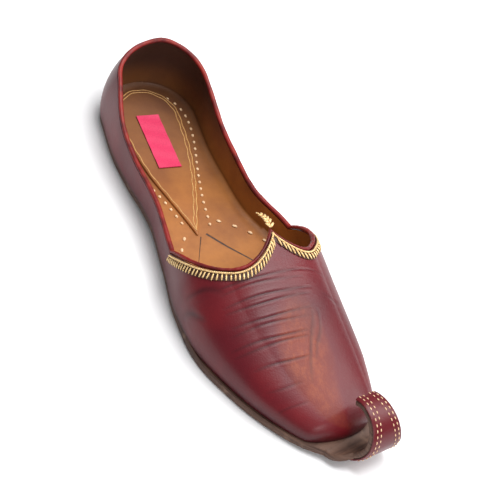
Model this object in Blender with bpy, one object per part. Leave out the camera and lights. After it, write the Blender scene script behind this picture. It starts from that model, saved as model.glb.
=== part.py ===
"""Mojari shoe with a curled toe, right foot: each sub-part is one closed mesh object.

Metres, +Z up. The shoe stands on its sole at z = 0, its toe toward -Y and its heel toward +Y.
+X is the inner side of the foot. Every curved piece comes from the same last: a station s runs
from the toe (0) to the back of the heel (1), and a runs across, from the outer feather line (-1)
over the ridge (0) to the inner feather line (1).
"""

import math

import bmesh
import bpy
import numpy as np
from mathutils import Vector

# Sole sizes
SOLE_LENGTH = 0.287
BALL_WIDTH = 0.098
HEEL_WIDTH = 0.0655
HEEL_REACH = 0.033
OUTSOLE_THICKNESS = 0.0048
SOLE_EDGE = 0.0018
SOLE_TUCK = 0.0008
ARCH_LIFT = 0.0016
TOE_SPRING = 0.0022
TOE_SWING = 0.042
TOE_NOSE = 0.011

# Upper sizes
WALL = 0.0022
INSTEP_HEIGHT = 0.065
RIDGE_OFFSET = 0.0035
SIDE_BULGE = 0.0032
PEAK_FROM_TOE = 0.107
SCALLOP_DIP = 0.022
EAR_FROM_PEAK = 0.026
EAR_HEIGHT = 0.022
MID_COLLAR_HEIGHT = 0.026
HEEL_COLLAR_HEIGHT = 0.050

# Toe curl sizes
TONGUE_WIDTH = 0.029
TONGUE_TIP_WIDTH = 0.014
TONGUE_THICKNESS = 0.0034
CURL_RADIUS = 0.0185
CURL_TURN_DEG = 205.0
CURL_AIM_DEG = 5.0
CORNER_END_DEG = 45.0
COVER_THICKNESS = 0.0013
COVER_START_DEG = 28.0

# Inner pieces
INSOLE_THICKNESS = 0.0018
INSOLE_START = 0.052
HEEL_PAD_THICKNESS = 0.0012
HEEL_PAD_WIDTH = 0.043
HEEL_PAD_LENGTH = 0.136
HEEL_PAD_MARGIN = 0.006
HEEL_PAD_OFFSET = -0.005
LABEL_WIDTH = 0.015
LABEL_LENGTH = 0.046
LABEL_FROM_HEEL = 0.034
LABEL_THICKNESS = 0.0006
LABEL_OFFSET = -0.006

# Edges and ornaments
BINDING_HEIGHT = 0.0024
BINDING_WIDTH = 0.0030
TRIM_WIDTH = 0.0050
TRIM_THICKNESS = 0.0010
KNOT_LENGTH = 0.012
KNOT_WIDTH = 0.0048
GAP = 0.0003

# Each row: share of the sole's length from the toe, the size that its widths follow,
# outer half as a share of that size, inner half as a share of it
OUTLINE = (
    (0.000, TONGUE_WIDTH, 0.840, 0.500),
    (0.035, BALL_WIDTH, 0.325, 0.215),
    (0.090, BALL_WIDTH, 0.400, 0.295),
    (0.170, BALL_WIDTH, 0.475, 0.375),
    (0.270, BALL_WIDTH, 0.522, 0.437),
    (0.370, BALL_WIDTH, 0.475, 0.468),
    (0.480, BALL_WIDTH, 0.375, 0.422),
    (0.590, HEEL_WIDTH, 0.480, 0.495),
    (0.690, HEEL_WIDTH, 0.535, 0.455),
    (0.790, HEEL_WIDTH, 0.570, 0.425),
    (0.884, HEEL_WIDTH, 0.550, 0.435),
)
# Each row: share of the sole's length from the toe, ridge height above the floor as a share of
# the instep's, roundness of the section (1 is an ellipse, less is squarer)
RIDGE = (
    (0.000, 0.230, 0.80),
    (0.040, 0.320, 0.80),
    (0.100, 0.420, 0.82),
    (0.180, 0.545, 0.84),
    (0.280, 0.715, 0.86),
    (0.360, 0.860, 0.88),
    (0.430, 0.990, 0.90),
    (0.550, 1.120, 0.88),
    (0.700, 1.140, 0.98),
    (0.884, 1.150, 1.12),
)

# How soon the ribs of the vamp's middle reach its ridge: 1 is evenly along the rib
RIDGE_CLIMB = 7.0
VAMP_STEPS = 24
QUARTER_STEPS = 16
HEEL_STEPS = 9
WALL_STEPS = 11
SOLE_CELLS = 8
TONGUE_STEPS = 18
BEAD_SIDES = 8


def smooth_curve(places, values, x):
    """Monotone cubic through a short table, so a row never makes a bump that it doesn't name."""
    places, values = np.asarray(places, float), np.asarray(values, float)
    steps = np.diff(places)
    slopes = np.diff(values) / steps
    tangents = np.zeros(len(places))
    tangents[0], tangents[-1] = slopes[0], slopes[-1]
    for i in range(1, len(places) - 1):
        before, after = slopes[i - 1], slopes[i]
        if before * after > 0:
            w1, w2 = 2 * steps[i] + steps[i - 1], steps[i] + 2 * steps[i - 1]
            tangents[i] = (w1 + w2) / (w1 / before + w2 / after)
    x = min(max(x, places[0]), places[-1])
    i = min(int(np.searchsorted(places, x, side="right")) - 1, len(steps) - 1)
    t = (x - places[i]) / steps[i]
    h = steps[i]
    return float(
        values[i] * (2 * t**3 - 3 * t**2 + 1)
        + tangents[i] * h * (t**3 - 2 * t**2 + t)
        + values[i + 1] * (3 * t**2 - 2 * t**3)
        + tangents[i + 1] * h * (t**3 - t**2)
    )


def ease(x):
    x = min(max(x, 0.0), 1.0)
    return x * x * (3 - 2 * x)


HEEL_STATION = 1.0 - HEEL_REACH / SOLE_LENGTH


def toe_to_y(share):
    return (share - 0.5) * SOLE_LENGTH


def centre_x(share):
    """The foot's centre line bends to the inner side in front of the waist."""
    return TOE_SWING * max(0.0, 1.0 - share / 0.62) ** 1.6


def centre_slope(share):
    """Sideways step of the centre line for a step toward the heel."""
    return -1.6 / 0.62 * TOE_SWING / SOLE_LENGTH * max(0.0, 1.0 - share / 0.62) ** 0.6


def nose(share):
    """How far the upper has opened behind its pointed front: 0 at the tip, 1 behind the nose."""
    part = min(share * SOLE_LENGTH / TOE_NOSE, 1.0)
    return math.sqrt(max(0.0, 1.0 - (1.0 - part) ** 2))


def behind_ball(share):
    """0 before the ball, where the sole shows beside the upper, and 1 behind it, where it doesn't."""
    return ease((share - 0.22) / 0.18)


def sole_edge(share):
    """How far the sole shows beside the upper's foot."""
    return SOLE_EDGE * (1.0 - behind_ball(share))


def floor_lift(share):
    """Height of the sole's underside: toe spring in front, a low arch under the waist."""
    spring = TOE_SPRING * max(0.0, 1.0 - share / 0.16) ** 2
    arch = ARCH_LIFT * math.sin(math.pi * min(max((share - 0.44) / 0.30, 0.0), 1.0)) ** 2
    return spring + arch


def half_width(share, side):
    column = 2 if side < 0 else 3
    return smooth_curve([row[0] for row in OUTLINE], [row[1] * row[column] for row in OUTLINE], share)


class Section:
    """The last's half-plane at a station: where its axis stands, which way it faces, how far it reaches."""

    def __init__(self, s, side):
        self.share = min(s, HEEL_STATION)
        turn = max(0.0, (s - HEEL_STATION) / (1.0 - HEEL_STATION)) * math.pi / 2
        self.axis = (centre_x(self.share), toe_to_y(self.share))
        width = half_width(self.share, side)
        # In front of the heel a section stands square to the bent centre line
        bend = math.atan(centre_slope(self.share))
        self.out = (side * math.cos(turn - side * bend), math.sin(turn - side * bend))
        # An ellipse round the heel, in polar form
        self.reach = 1.0 / math.hypot(math.cos(turn) / width, math.sin(turn) / HEEL_REACH) if turn else width
        self.ridge = INSTEP_HEIGHT * smooth_curve([r[0] for r in RIDGE], [r[1] for r in RIDGE], self.share)
        self.round = smooth_curve([r[0] for r in RIDGE], [r[2] for r in RIDGE], self.share)
        self.lift = floor_lift(self.share)
        self.front = 1.0 - ease((self.share - 0.45) / 0.25)

    def place(self, distance, z, shift=0.0):
        x, y = (axis + out * distance for axis, out in zip(self.axis, self.out))
        return Vector((x + shift, y, z))


def sole_point(s, a, inset, height):
    """A point of a flat layer on the last's plan, inset from the outline, at a height above the underside."""
    section = Section(s, -1 if a < 0 else 1)
    reach = section.reach - inset - SOLE_TUCK * behind_ball(section.share)
    return section.place(abs(a) * reach, section.lift + height)


FEATHER_HEIGHT = OUTSOLE_THICKNESS + GAP


def last_point(s, a):
    """A point of the upper's outer face."""
    section = Section(s, -1 if a < 0 else 1)
    rise = (1.0 - abs(a)) * math.pi / 2
    foot = section.lift + FEATHER_HEIGHT
    open_nose = nose(section.share)
    height = foot + (section.ridge - FEATHER_HEIGHT) * math.sin(rise) ** section.round * open_nose
    reach = (section.reach - sole_edge(section.share)) * math.cos(rise) ** section.round * open_nose
    bulge = SIDE_BULGE * math.sin(math.pi * min(1.0, (1.0 - abs(a)) * 1.7)) * min(1.0, section.share / 0.12)
    shift = RIDGE_OFFSET * math.sin(rise) ** 1.5 * section.front
    return section.place(reach + bulge, height, shift)


def across_at_height(s, side, height):
    """The a at which the last's section reaches a height."""
    section = Section(s, side)
    foot = section.lift + FEATHER_HEIGHT
    part = min(max((height - foot) / (section.ridge - FEATHER_HEIGHT), 0.0), 1.0)
    rise = math.asin(part ** (1.0 / section.round))
    return side * (1.0 - rise / (math.pi / 2))


PEAK_STATION = PEAK_FROM_TOE / SOLE_LENGTH
EAR_STATION = (PEAK_FROM_TOE + EAR_FROM_PEAK) / SOLE_LENGTH


def collar_height(s):
    """Height of the quarter's top edge from the ear to the back of the heel."""
    part = (s - EAR_STATION) / (1.0 - EAR_STATION)
    return smooth_curve(
        (0.0, 0.45, 1.0), (EAR_HEIGHT, MID_COLLAR_HEIGHT, HEEL_COLLAR_HEIGHT), part
    )


def topline_station(side, part):
    """(s, a) on the open edge: part 0 is the vamp's peak, 0.5 the ear, 1 the back of the heel."""
    if part <= 0.5:
        t = part / 0.5
        ear = across_at_height(EAR_STATION, side, collar_height(EAR_STATION))
        dip = SCALLOP_DIP / SOLE_LENGTH * math.sin(math.pi * t**0.8)
        s = PEAK_STATION + (EAR_STATION - PEAK_STATION) * t - dip
        return s, ear * t
    t = (part - 0.5) / 0.5
    s = EAR_STATION + (1.0 - EAR_STATION) * t
    return s, across_at_height(s, side, collar_height(s))


def foot_station(side, part):
    """(s, a) on the feather line that belongs to the same part of the open edge."""
    if part <= 0.5:
        return EAR_STATION * (part / 0.5) ** 1.7, side
    return EAR_STATION + (1.0 - EAR_STATION) * (part - 0.5) / 0.5, side


def wall_point(side, part, v):
    """The upper's outer face: part runs round from the toe to the heel, v from the sole to the open edge."""
    foot_s, foot_a = foot_station(side, part)
    top_s, top_a = topline_station(side, part)
    # The ribs of the vamp's middle climb onto the ridge at the toe and then run along it
    along = v ** (1.0 + 0.8 * max(0.0, 1.0 - part / 0.35))
    climb = 1.0 + (RIDGE_CLIMB - 1.0) * max(0.0, 1.0 - part / 0.3)
    across = 1.0 - (1.0 - v) ** climb
    return last_point(foot_s + (top_s - foot_s) * along, foot_a + (top_a - foot_a) * across)


def loop_parts():
    """The (side, part) pairs round the shoe: toe, outer side, heel, inner side."""
    vamp = [0.5 * i / VAMP_STEPS for i in range(VAMP_STEPS)]
    quarter_end = 1.0 - 0.5 * HEEL_REACH / ((1.0 - EAR_STATION) * SOLE_LENGTH)
    quarter = [0.5 + (quarter_end - 0.5) * i / QUARTER_STEPS for i in range(QUARTER_STEPS)]
    heel = [quarter_end + (1.0 - quarter_end) * i / HEEL_STEPS for i in range(HEEL_STEPS)]
    parts = vamp + quarter + heel
    return [(-1, p) for p in parts] + [(-1, 1.0)] + [(1, p) for p in reversed(parts[1:])]


def grid_normals(grid):
    """Outward unit normals of a grid that closes on itself along its first index."""
    around = np.roll(grid, -1, axis=0) - np.roll(grid, 1, axis=0)
    up = np.gradient(grid, axis=1)
    normals = np.cross(up, around)
    return normals / np.maximum(np.linalg.norm(normals, axis=2, keepdims=True), 1e-12)


def upper_grid(steps):
    """Outer face of the upper and its normals, steps rows from the sole to the open edge."""
    levels = [v / steps for v in range(steps + 1)]
    grid = np.array([[wall_point(side, part, v) for v in levels] for side, part in loop_parts()])
    return grid, grid_normals(grid)


def new_object(name, vertices, faces, colour, roughness, metallic=0.0):
    """A closed mesh object with a finish of its own, shaded smooth except at its edges."""
    mesh = bpy.data.meshes.new(name)
    mesh.from_pydata([tuple(map(float, v)) for v in vertices], [], faces)
    build = bmesh.new()
    build.from_mesh(mesh)
    bmesh.ops.remove_doubles(build, verts=build.verts, dist=1e-6)
    bmesh.ops.recalc_face_normals(build, faces=build.faces)
    build.to_mesh(mesh)
    build.free()
    mesh.shade_smooth()
    mesh.set_sharp_from_angle(angle=math.radians(50))
    material = bpy.data.materials.new(name)
    material.use_nodes = True
    shader = material.node_tree.nodes["Principled BSDF"]
    shader.inputs["Base Color"].default_value = (*colour, 1.0)
    shader.inputs["Roughness"].default_value = roughness
    shader.inputs["Metallic"].default_value = metallic
    mesh.materials.append(material)
    thing = bpy.data.objects.new(name, mesh)
    bpy.context.scene.collection.objects.link(thing)
    return thing


def shell(outer, inner, wraps):
    """Vertices and faces of the closed solid between two grids of the same size."""
    rows, columns = outer.shape[:2]
    vertices = np.concatenate([outer.reshape(-1, 3), inner.reshape(-1, 3)])
    offset = rows * columns
    faces = []

    def at(i, j, layer):
        return (i % rows) * columns + j + layer * offset

    spans = rows if wraps else rows - 1
    for i in range(spans):
        for j in range(columns - 1):
            faces.append((at(i, j, 0), at(i, j + 1, 0), at(i + 1, j + 1, 0), at(i + 1, j, 0)))
            faces.append((at(i, j, 1), at(i + 1, j, 1), at(i + 1, j + 1, 1), at(i, j + 1, 1)))
        for j in (0, columns - 1):
            faces.append((at(i, j, 0), at(i + 1, j, 0), at(i + 1, j, 1), at(i, j, 1)))
    if not wraps:
        for i in (0, rows - 1):
            for j in range(columns - 1):
                faces.append((at(i, j, 0), at(i, j + 1, 0), at(i, j + 1, 1), at(i, j, 1)))
    return vertices, faces


def make_upper():
    outer, normals = upper_grid(WALL_STEPS)
    inner = outer - normals * WALL
    # Under the low nose the inside can't go below the wall's own foot
    foot = outer[:, :1, 2] + np.linspace(0.0, WALL / 4, WALL_STEPS + 1)
    inner[:, :, 2] = np.maximum(inner[:, :, 2], foot)
    inner[:, 0, 2] = outer[:, 0, 2]
    return new_object("upper", *shell(outer, inner, True), (0.16, 0.012, 0.016), 0.35)


def swept_bead(centres, sideways, upward, half_width, half_height, sides, wraps):
    """A tube of oval section along a path, with the section's two directions given at each point."""
    rows = []
    for centre, side, up, width, height in zip(centres, sideways, upward, half_width, half_height):
        rows.append(
            [
                centre
                + side * width * math.cos(2 * math.pi * k / sides)
                + up * height * math.sin(2 * math.pi * k / sides)
                for k in range(sides)
            ]
        )
    count = len(rows)
    vertices = [v for row in rows for v in row]
    faces = []
    for i in range(count if wraps else count - 1):
        n = (i + 1) % count
        for k in range(sides):
            m = (k + 1) % sides
            faces.append((i * sides + k, i * sides + m, n * sides + m, n * sides + k))
    if not wraps:
        faces.append(tuple(range(sides)))
        faces.append(tuple(reversed(range((count - 1) * sides, count * sides))))
    return vertices, faces


def make_topline_binding():
    """The folded edge that sits on the rim of the wall all round the opening."""
    outer, normals = upper_grid(WALL_STEPS)
    rim, out = outer[:, -1], normals[:, -1]
    rise = outer[:, -1] - outer[:, -2]
    rise /= np.linalg.norm(rise, axis=1, keepdims=True)
    centres = rim - out * WALL / 2 + rise * (GAP + BINDING_HEIGHT / 2)
    count = len(centres)
    tube = swept_bead(
        centres, out, rise, [BINDING_WIDTH / 2] * count, [BINDING_HEIGHT / 2] * count, BEAD_SIDES, True
    )
    return new_object("topline_binding", *tube, (0.30, 0.02, 0.015), 0.4)


def make_vamp_trim():
    """Gold braid on the vamp along both scallops, laid on the outer face just under the rim."""
    outer, normals = upper_grid(WALL_STEPS)
    pairs = loop_parts()
    left = [i for i, (side, part) in enumerate(pairs) if side < 0 and part <= 0.49]
    right = [i for i, (side, part) in enumerate(pairs) if side > 0 and part <= 0.49]
    order = right + left
    rise = outer[order, -1] - outer[order, -2]
    rise /= np.linalg.norm(rise, axis=1, keepdims=True)
    out = normals[order, -1]
    rim = outer[order, -1]
    high = rim - rise * 0.0004
    low = rim - rise * (0.0004 + TRIM_WIDTH)
    middle = (high + low) / 2
    # The wall curves away under the braid, so its lower edge follows the wall's own slope there
    base = np.stack([high, middle, low], axis=1)
    for column, depth in ((1, 0.5), (2, 1.0)):
        base[:, column] = follow_wall(outer[order], depth * TRIM_WIDTH + 0.0004)
    face = np.repeat(out[:, None, :], 3, axis=1)
    under = base + face * GAP
    over = base + face * (GAP + TRIM_THICKNESS)
    return new_object("vamp_trim", *shell(over, under, False), (0.62, 0.45, 0.2), 0.4, 0.6)


def follow_wall(grid, distance):
    """The point on each rib of a grid at a distance below its top, measured along the rib."""
    places = []
    for rib in grid:
        left = distance
        for upper, lower in zip(rib[::-1], rib[-2::-1]):
            step = np.linalg.norm(lower - upper)
            if left <= step:
                places.append(upper + (lower - upper) * left / step)
                break
            left -= step
    return np.array(places)


def curl_frame(turn):
    """Centre of the tongue's outer face at an angle of its curl, with the outward and sideways directions."""
    bend = math.atan(centre_slope(0.0)) + math.radians(CURL_AIM_DEG)
    forward = Vector((-math.sin(bend), -math.cos(bend), 0.0))
    start = Vector((centre_x(0.0), toe_to_y(0.0), floor_lift(0.0)))
    angle = math.radians(turn)
    out = forward * math.sin(angle) + Vector((0, 0, -math.cos(angle)))
    radius = CURL_RADIUS * (1.0 - 0.18 * max(0.0, turn - 90.0) / 90.0)
    hub = start + Vector((0, 0, CURL_RADIUS))
    return hub + out * radius, out, Vector((math.cos(bend), -math.sin(bend), 0.0))


def tongue_reach(part, side):
    """Half width of the tongue: on the outer side it grows out of the sole's rounded front corner."""
    half = (TONGUE_WIDTH + (TONGUE_TIP_WIDTH - TONGUE_WIDTH) * ease(part) ** 0.9) / 2
    corner = max(0.0, 1.0 - part * CURL_TURN_DEG / CORNER_END_DEG)
    spare = half_width(0.0, side) - TONGUE_WIDTH / 2
    return half + spare * math.sqrt(1.0 - (1.0 - corner) ** 2)


def tongue_row(part, cells, left_side):
    """Points across the tongue's outer face at a part of its length, and the face's outward direction."""
    place, out, sideways = curl_frame(CURL_TURN_DEG * part)
    reach = {True: tongue_reach(part, left_side), False: tongue_reach(part, 1)}
    return [place + sideways * (a * reach[a < 0]) for a in across_values(cells)], out


def sole_stations():
    """Stations of the sole from the toe to the back of the heel."""
    front = [0.12 * (i / 8) ** 1.4 for i in range(8)]
    middle = [0.12 + (HEEL_STATION - 0.12) * i / 22 for i in range(22)]
    heel = [HEEL_STATION + (1.0 - HEEL_STATION) * i / HEEL_STEPS for i in range(HEEL_STEPS + 1)]
    return front + middle + heel


def across_values(cells):
    return [2.0 * j / cells - 1.0 for j in range(cells + 1)]


def layer(stations, inset, bottom, top, cells):
    """Top and bottom grids of a flat layer that follows the sole, with the heel's two fans joined."""
    across = across_values(cells)
    low = np.array([[sole_point(s, a, inset, bottom) for a in across] for s in stations])
    high = np.array([[sole_point(s, a, inset, top) for a in across] for s in stations])
    return high, low


def make_outsole():
    """Flat sole leather whose toe tongue runs on and curls up and back."""
    high, low = layer(sole_stations(), 0.0, 0.0, OUTSOLE_THICKNESS, SOLE_CELLS)
    tongue_high, tongue_low = [], []
    for i in range(TONGUE_STEPS, 0, -1):
        part = i / TONGUE_STEPS
        row, out = tongue_row(part, SOLE_CELLS, -1)
        thick = OUTSOLE_THICKNESS + (TONGUE_THICKNESS - OUTSOLE_THICKNESS) * min(1.0, part * 5)
        tongue_low.append(row)
        tongue_high.append([p - out * thick for p in row])
    high = np.concatenate([np.array(tongue_high), high])
    low = np.concatenate([np.array(tongue_low), low])
    return new_object("outsole", *closed_layer(high, low), (0.13, 0.07, 0.045), 0.6)


def closed_layer(high, low):
    """Like shell, for a layer whose last row folds onto itself at the back of the heel."""
    rows, columns = high.shape[:2]
    vertices = np.concatenate([high.reshape(-1, 3), low.reshape(-1, 3)])
    offset = rows * columns
    faces = []
    for i in range(rows - 1):
        for j in range(columns - 1):
            a, b = i * columns + j, i * columns + j + 1
            c, d = b + columns, a + columns
            faces.append((a, b, c, d))
            faces.append((a + offset, d + offset, c + offset, b + offset))
        for j in (0, columns - 1):
            a, b = i * columns + j, (i + 1) * columns + j
            faces.append((a, b, b + offset, a + offset))
    for j in range(columns - 1):
        faces.append((j, j + 1, j + 1 + offset, j + offset))
    return vertices, faces


INSOLE_BOTTOM = OUTSOLE_THICKNESS + GAP
INSOLE_TOP = INSOLE_BOTTOM + INSOLE_THICKNESS
INSOLE_INSET = WALL + GAP
PAD_TOP = INSOLE_TOP + GAP + HEEL_PAD_THICKNESS


def foot_edge(share, side):
    """The wall's outer foot in plan: distance from the centre line at a station in front of the heel."""
    return (half_width(share, side) - sole_edge(share)) * nose(share)


def insole_reach(section, s, side):
    """How far the sock reaches: to the inside of the wall less a gap, measured square to the wall."""
    clear = WALL + GAP
    if s > HEEL_STATION:
        return section.reach - clear
    step = 0.002
    shares = (section.share - step, section.share + step)
    ahead, behind = (Section(share, side).place(foot_edge(share, side), 0.0) for share in shares)
    wall = (behind - ahead).normalized()
    square = abs(section.out[0] * wall.y - section.out[1] * wall.x)
    return foot_edge(section.share, side) - clear / square


def make_insole():
    """The leather sock inside the wall, from behind the nose to the heel."""
    stations = [s for s in sole_stations() if s > INSOLE_START]
    high, low = [], []
    for s in stations:
        row_high, row_low = [], []
        for a in across_values(SOLE_CELLS):
            side = -1 if a < 0 else 1
            section = Section(s, side)
            reach = insole_reach(section, s, side)
            row_high.append(section.place(abs(a) * reach, section.lift + INSOLE_TOP))
            row_low.append(section.place(abs(a) * reach, section.lift + INSOLE_BOTTOM))
        high.append(row_high)
        low.append(row_low)
    return new_object("insole", *closed_layer(np.array(high), np.array(low)), (0.33, 0.15, 0.05), 0.55)


def pad_half_width(share):
    """Half width of the heel pad: full over the heel, drawn in to a point toward the toe."""
    tip = 1.0 - HEEL_PAD_LENGTH / SOLE_LENGTH
    part = (share - tip) / (HEEL_STATION - tip)
    return HEEL_PAD_WIDTH / 2 * smooth_curve((0.0, 0.3, 0.54, 0.8, 1.0), (0.02, 0.47, 0.77, 0.95, 1.0), part)


def make_heel_pad():
    tip = 1.0 - HEEL_PAD_LENGTH / SOLE_LENGTH
    steps = 12
    stations = [tip + (HEEL_STATION - tip) * i / steps for i in range(steps)]
    stations += [s for s in sole_stations() if s >= HEEL_STATION - 1e-9]
    reach_back = HEEL_REACH - INSOLE_INSET - HEEL_PAD_MARGIN
    high, low = [], []
    for s in stations:
        row_high, row_low = [], []
        for a in across_values(4):
            section = Section(s, -1 if a < 0 else 1)
            if s > HEEL_STATION:
                out = section.out
                reach = 1.0 / math.hypot(out[0] / (HEEL_PAD_WIDTH / 2), out[1] / reach_back)
            else:
                reach = pad_half_width(section.share)
            row_high.append(section.place(abs(a) * reach, section.lift + PAD_TOP, HEEL_PAD_OFFSET))
            row_low.append(section.place(abs(a) * reach, section.lift + INSOLE_TOP + GAP, HEEL_PAD_OFFSET))
        high.append(row_high)
        low.append(row_low)
    return new_object("heel_pad", *closed_layer(np.array(high), np.array(low)), (0.36, 0.17, 0.06), 0.5)


def make_label_patch():
    """The small bare patch sewn on the heel pad."""
    back = 1.0 - LABEL_FROM_HEEL / SOLE_LENGTH
    front = back - LABEL_LENGTH / SOLE_LENGTH
    high, low = [], []
    for i in range(7):
        share = back + (front - back) * i / 6
        lift = floor_lift(share) + PAD_TOP + GAP
        y = toe_to_y(share)
        xs = [LABEL_OFFSET + LABEL_WIDTH * (j / 2 - 0.5) for j in range(3)]
        low.append([Vector((x, y, lift)) for x in xs])
        high.append([Vector((x, y, lift + LABEL_THICKNESS)) for x in xs])
    return new_object("label_patch", *shell(np.array(high), np.array(low), False), (0.75, 0.03, 0.10), 0.6)


def make_toe_curl_cover():
    """The strip of upper leather over the outer face of the curl."""
    over, under = [], []
    steps = TONGUE_STEPS
    for i in range(steps + 1):
        part = (COVER_START_DEG + (CURL_TURN_DEG - COVER_START_DEG) * i / steps) / CURL_TURN_DEG
        row, out = tongue_row(part, 4, 1)
        under.append([p + out * GAP for p in row])
        over.append([p + out * (GAP + COVER_THICKNESS) for p in row])
    strip = shell(np.array(over), np.array(under), False)
    return new_object("toe_curl_cover", *strip, (0.16, 0.012, 0.016), 0.35)


def make_peak_knot():
    """The gold sprig behind the vamp's peak: a short knobbly cord end, thin at its tip."""
    peak = Vector(wall_point(-1, 0.0, 1.0))
    start = peak + Vector((0, BINDING_HEIGHT + 2 * GAP, 0.0008))
    steps = 12
    centres, widths, heights = [], [], []
    for i in range(steps + 1):
        part = i / steps
        knob = 0.72 + 0.28 * math.cos(3 * 2 * math.pi * part)
        centres.append(np.array(start + Vector((0, KNOT_LENGTH * part, 0.0012 * math.sin(math.pi * part)))))
        widths.append(KNOT_WIDTH / 2 * knob * (1.0 - 0.7 * part))
        heights.append(KNOT_WIDTH * 0.35 * knob * (1.0 - 0.7 * part))
    side, up = np.array((1.0, 0, 0)), np.array((0, 0, 1.0))
    count = len(centres)
    tube = swept_bead(centres, [side] * count, [up] * count, widths, heights, BEAD_SIDES, False)
    return new_object("peak_knot", *tube, (0.62, 0.45, 0.2), 0.4, 0.6)


def stand_on_floor(things):
    """Sets the middle of the whole shoe's box over the origin, sole down."""
    corners = np.array([v.co for thing in things for v in thing.data.vertices])
    low, high = corners.min(axis=0), corners.max(axis=0)
    shift = Vector((-(low[0] + high[0]) / 2, -(low[1] + high[1]) / 2, -low[2]))
    for thing in things:
        for vertex in thing.data.vertices:
            vertex.co += shift


def main():
    for thing in list(bpy.data.objects):
        bpy.data.objects.remove(thing, do_unlink=True)
    things = [
        make_outsole(),
        make_insole(),
        make_upper(),
        make_heel_pad(),
        make_label_patch(),
        make_topline_binding(),
        make_vamp_trim(),
        make_toe_curl_cover(),
        make_peak_knot(),
    ]
    stand_on_floor(things)


main()
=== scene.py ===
"""Mojari shoe with a curled toe, right foot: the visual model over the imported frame.

Metres, +Z up. The shoe stands on its sole with its toe toward -Y, and +X is the inner side of
the foot. Every piece takes its shape from the shoe's own last, at a finer pitch than the frame's
solids, and then gets its seams, stitches, creases and finish.
"""

from __future__ import annotations

import logging
import math
from dataclasses import dataclass, field
from enum import Enum
from typing import Any, Mapping, Sequence

import bpy
import numpy as np
from mathutils import Matrix, Vector


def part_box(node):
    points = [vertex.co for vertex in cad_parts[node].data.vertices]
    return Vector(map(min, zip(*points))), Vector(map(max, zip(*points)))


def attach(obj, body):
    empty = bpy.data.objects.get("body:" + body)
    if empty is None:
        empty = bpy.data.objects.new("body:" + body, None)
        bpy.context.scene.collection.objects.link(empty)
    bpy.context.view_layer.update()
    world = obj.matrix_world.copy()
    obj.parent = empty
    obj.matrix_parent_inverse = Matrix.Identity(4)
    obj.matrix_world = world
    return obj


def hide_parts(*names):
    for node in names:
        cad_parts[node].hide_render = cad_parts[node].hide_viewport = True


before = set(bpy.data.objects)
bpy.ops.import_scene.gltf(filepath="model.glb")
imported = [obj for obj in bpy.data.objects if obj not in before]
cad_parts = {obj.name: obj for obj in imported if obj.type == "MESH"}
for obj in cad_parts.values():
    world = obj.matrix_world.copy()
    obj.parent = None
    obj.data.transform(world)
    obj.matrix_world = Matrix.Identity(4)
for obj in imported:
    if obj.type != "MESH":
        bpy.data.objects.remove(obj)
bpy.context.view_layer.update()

LOG = logging.getLogger("mojari")
MM = 0.001
Colour = tuple[float, float, float, float]
Size3 = tuple[float, float, float]
PlanLine = tuple[tuple[float, float], ...]
Number = np.ndarray | float


class Slot(Enum):
    """The material slots that the pieces name."""

    SOLE = "sole_leather"
    LINING = "lining_leather"
    UPPER = "upper_leather"
    LABEL = "label_cloth"
    BINDING = "binding_leather"
    GOLD = "gold_thread"


class Side(Enum):
    """The two sides of the foot."""

    OUTER = -1.0
    INNER = 1.0


def srgb(red: int, green: int, blue: int) -> Colour:
    """A screen colour (0 to 255) as the linear colour that a shader takes."""

    def linear(value: int) -> float:
        """One channel."""
        part = value / 255
        return part / 12.92 if part <= 0.04045 else ((part + 0.055) / 1.055) ** 2.4

    return (linear(red), linear(green), linear(blue), 1.0)


# Shader nodes


class Wire:
    """A socket that takes part in arithmetic: each operator adds the Math node that it stands for."""

    def __init__(self, bench: "Bench", socket: bpy.types.NodeSocket) -> None:
        """Keeps the socket and the bench that makes its nodes."""
        self.bench = bench
        self.socket = socket

    def _math(self, operation: str, other: "Wire | float") -> "Wire":
        """One Math node on this value and another."""
        return self.bench.node("ShaderNodeMath", {"operation": operation}, {0: self, 1: other})

    def __add__(self, other: "Wire | float") -> "Wire":
        """Sum."""
        return self._math("ADD", other)

    def __mul__(self, other: "Wire | float") -> "Wire":
        """Product."""
        return self._math("MULTIPLY", other)

    def between(self, low: float, high: float) -> "Wire":
        """0 at low and under, 1 at high and over, smooth in between."""
        values = {0: self, 1: low, 2: high, 3: 0.0, 4: 1.0}
        return self.bench.node("ShaderNodeMapRange", {"interpolation_type": "SMOOTHSTEP"}, values)


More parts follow.
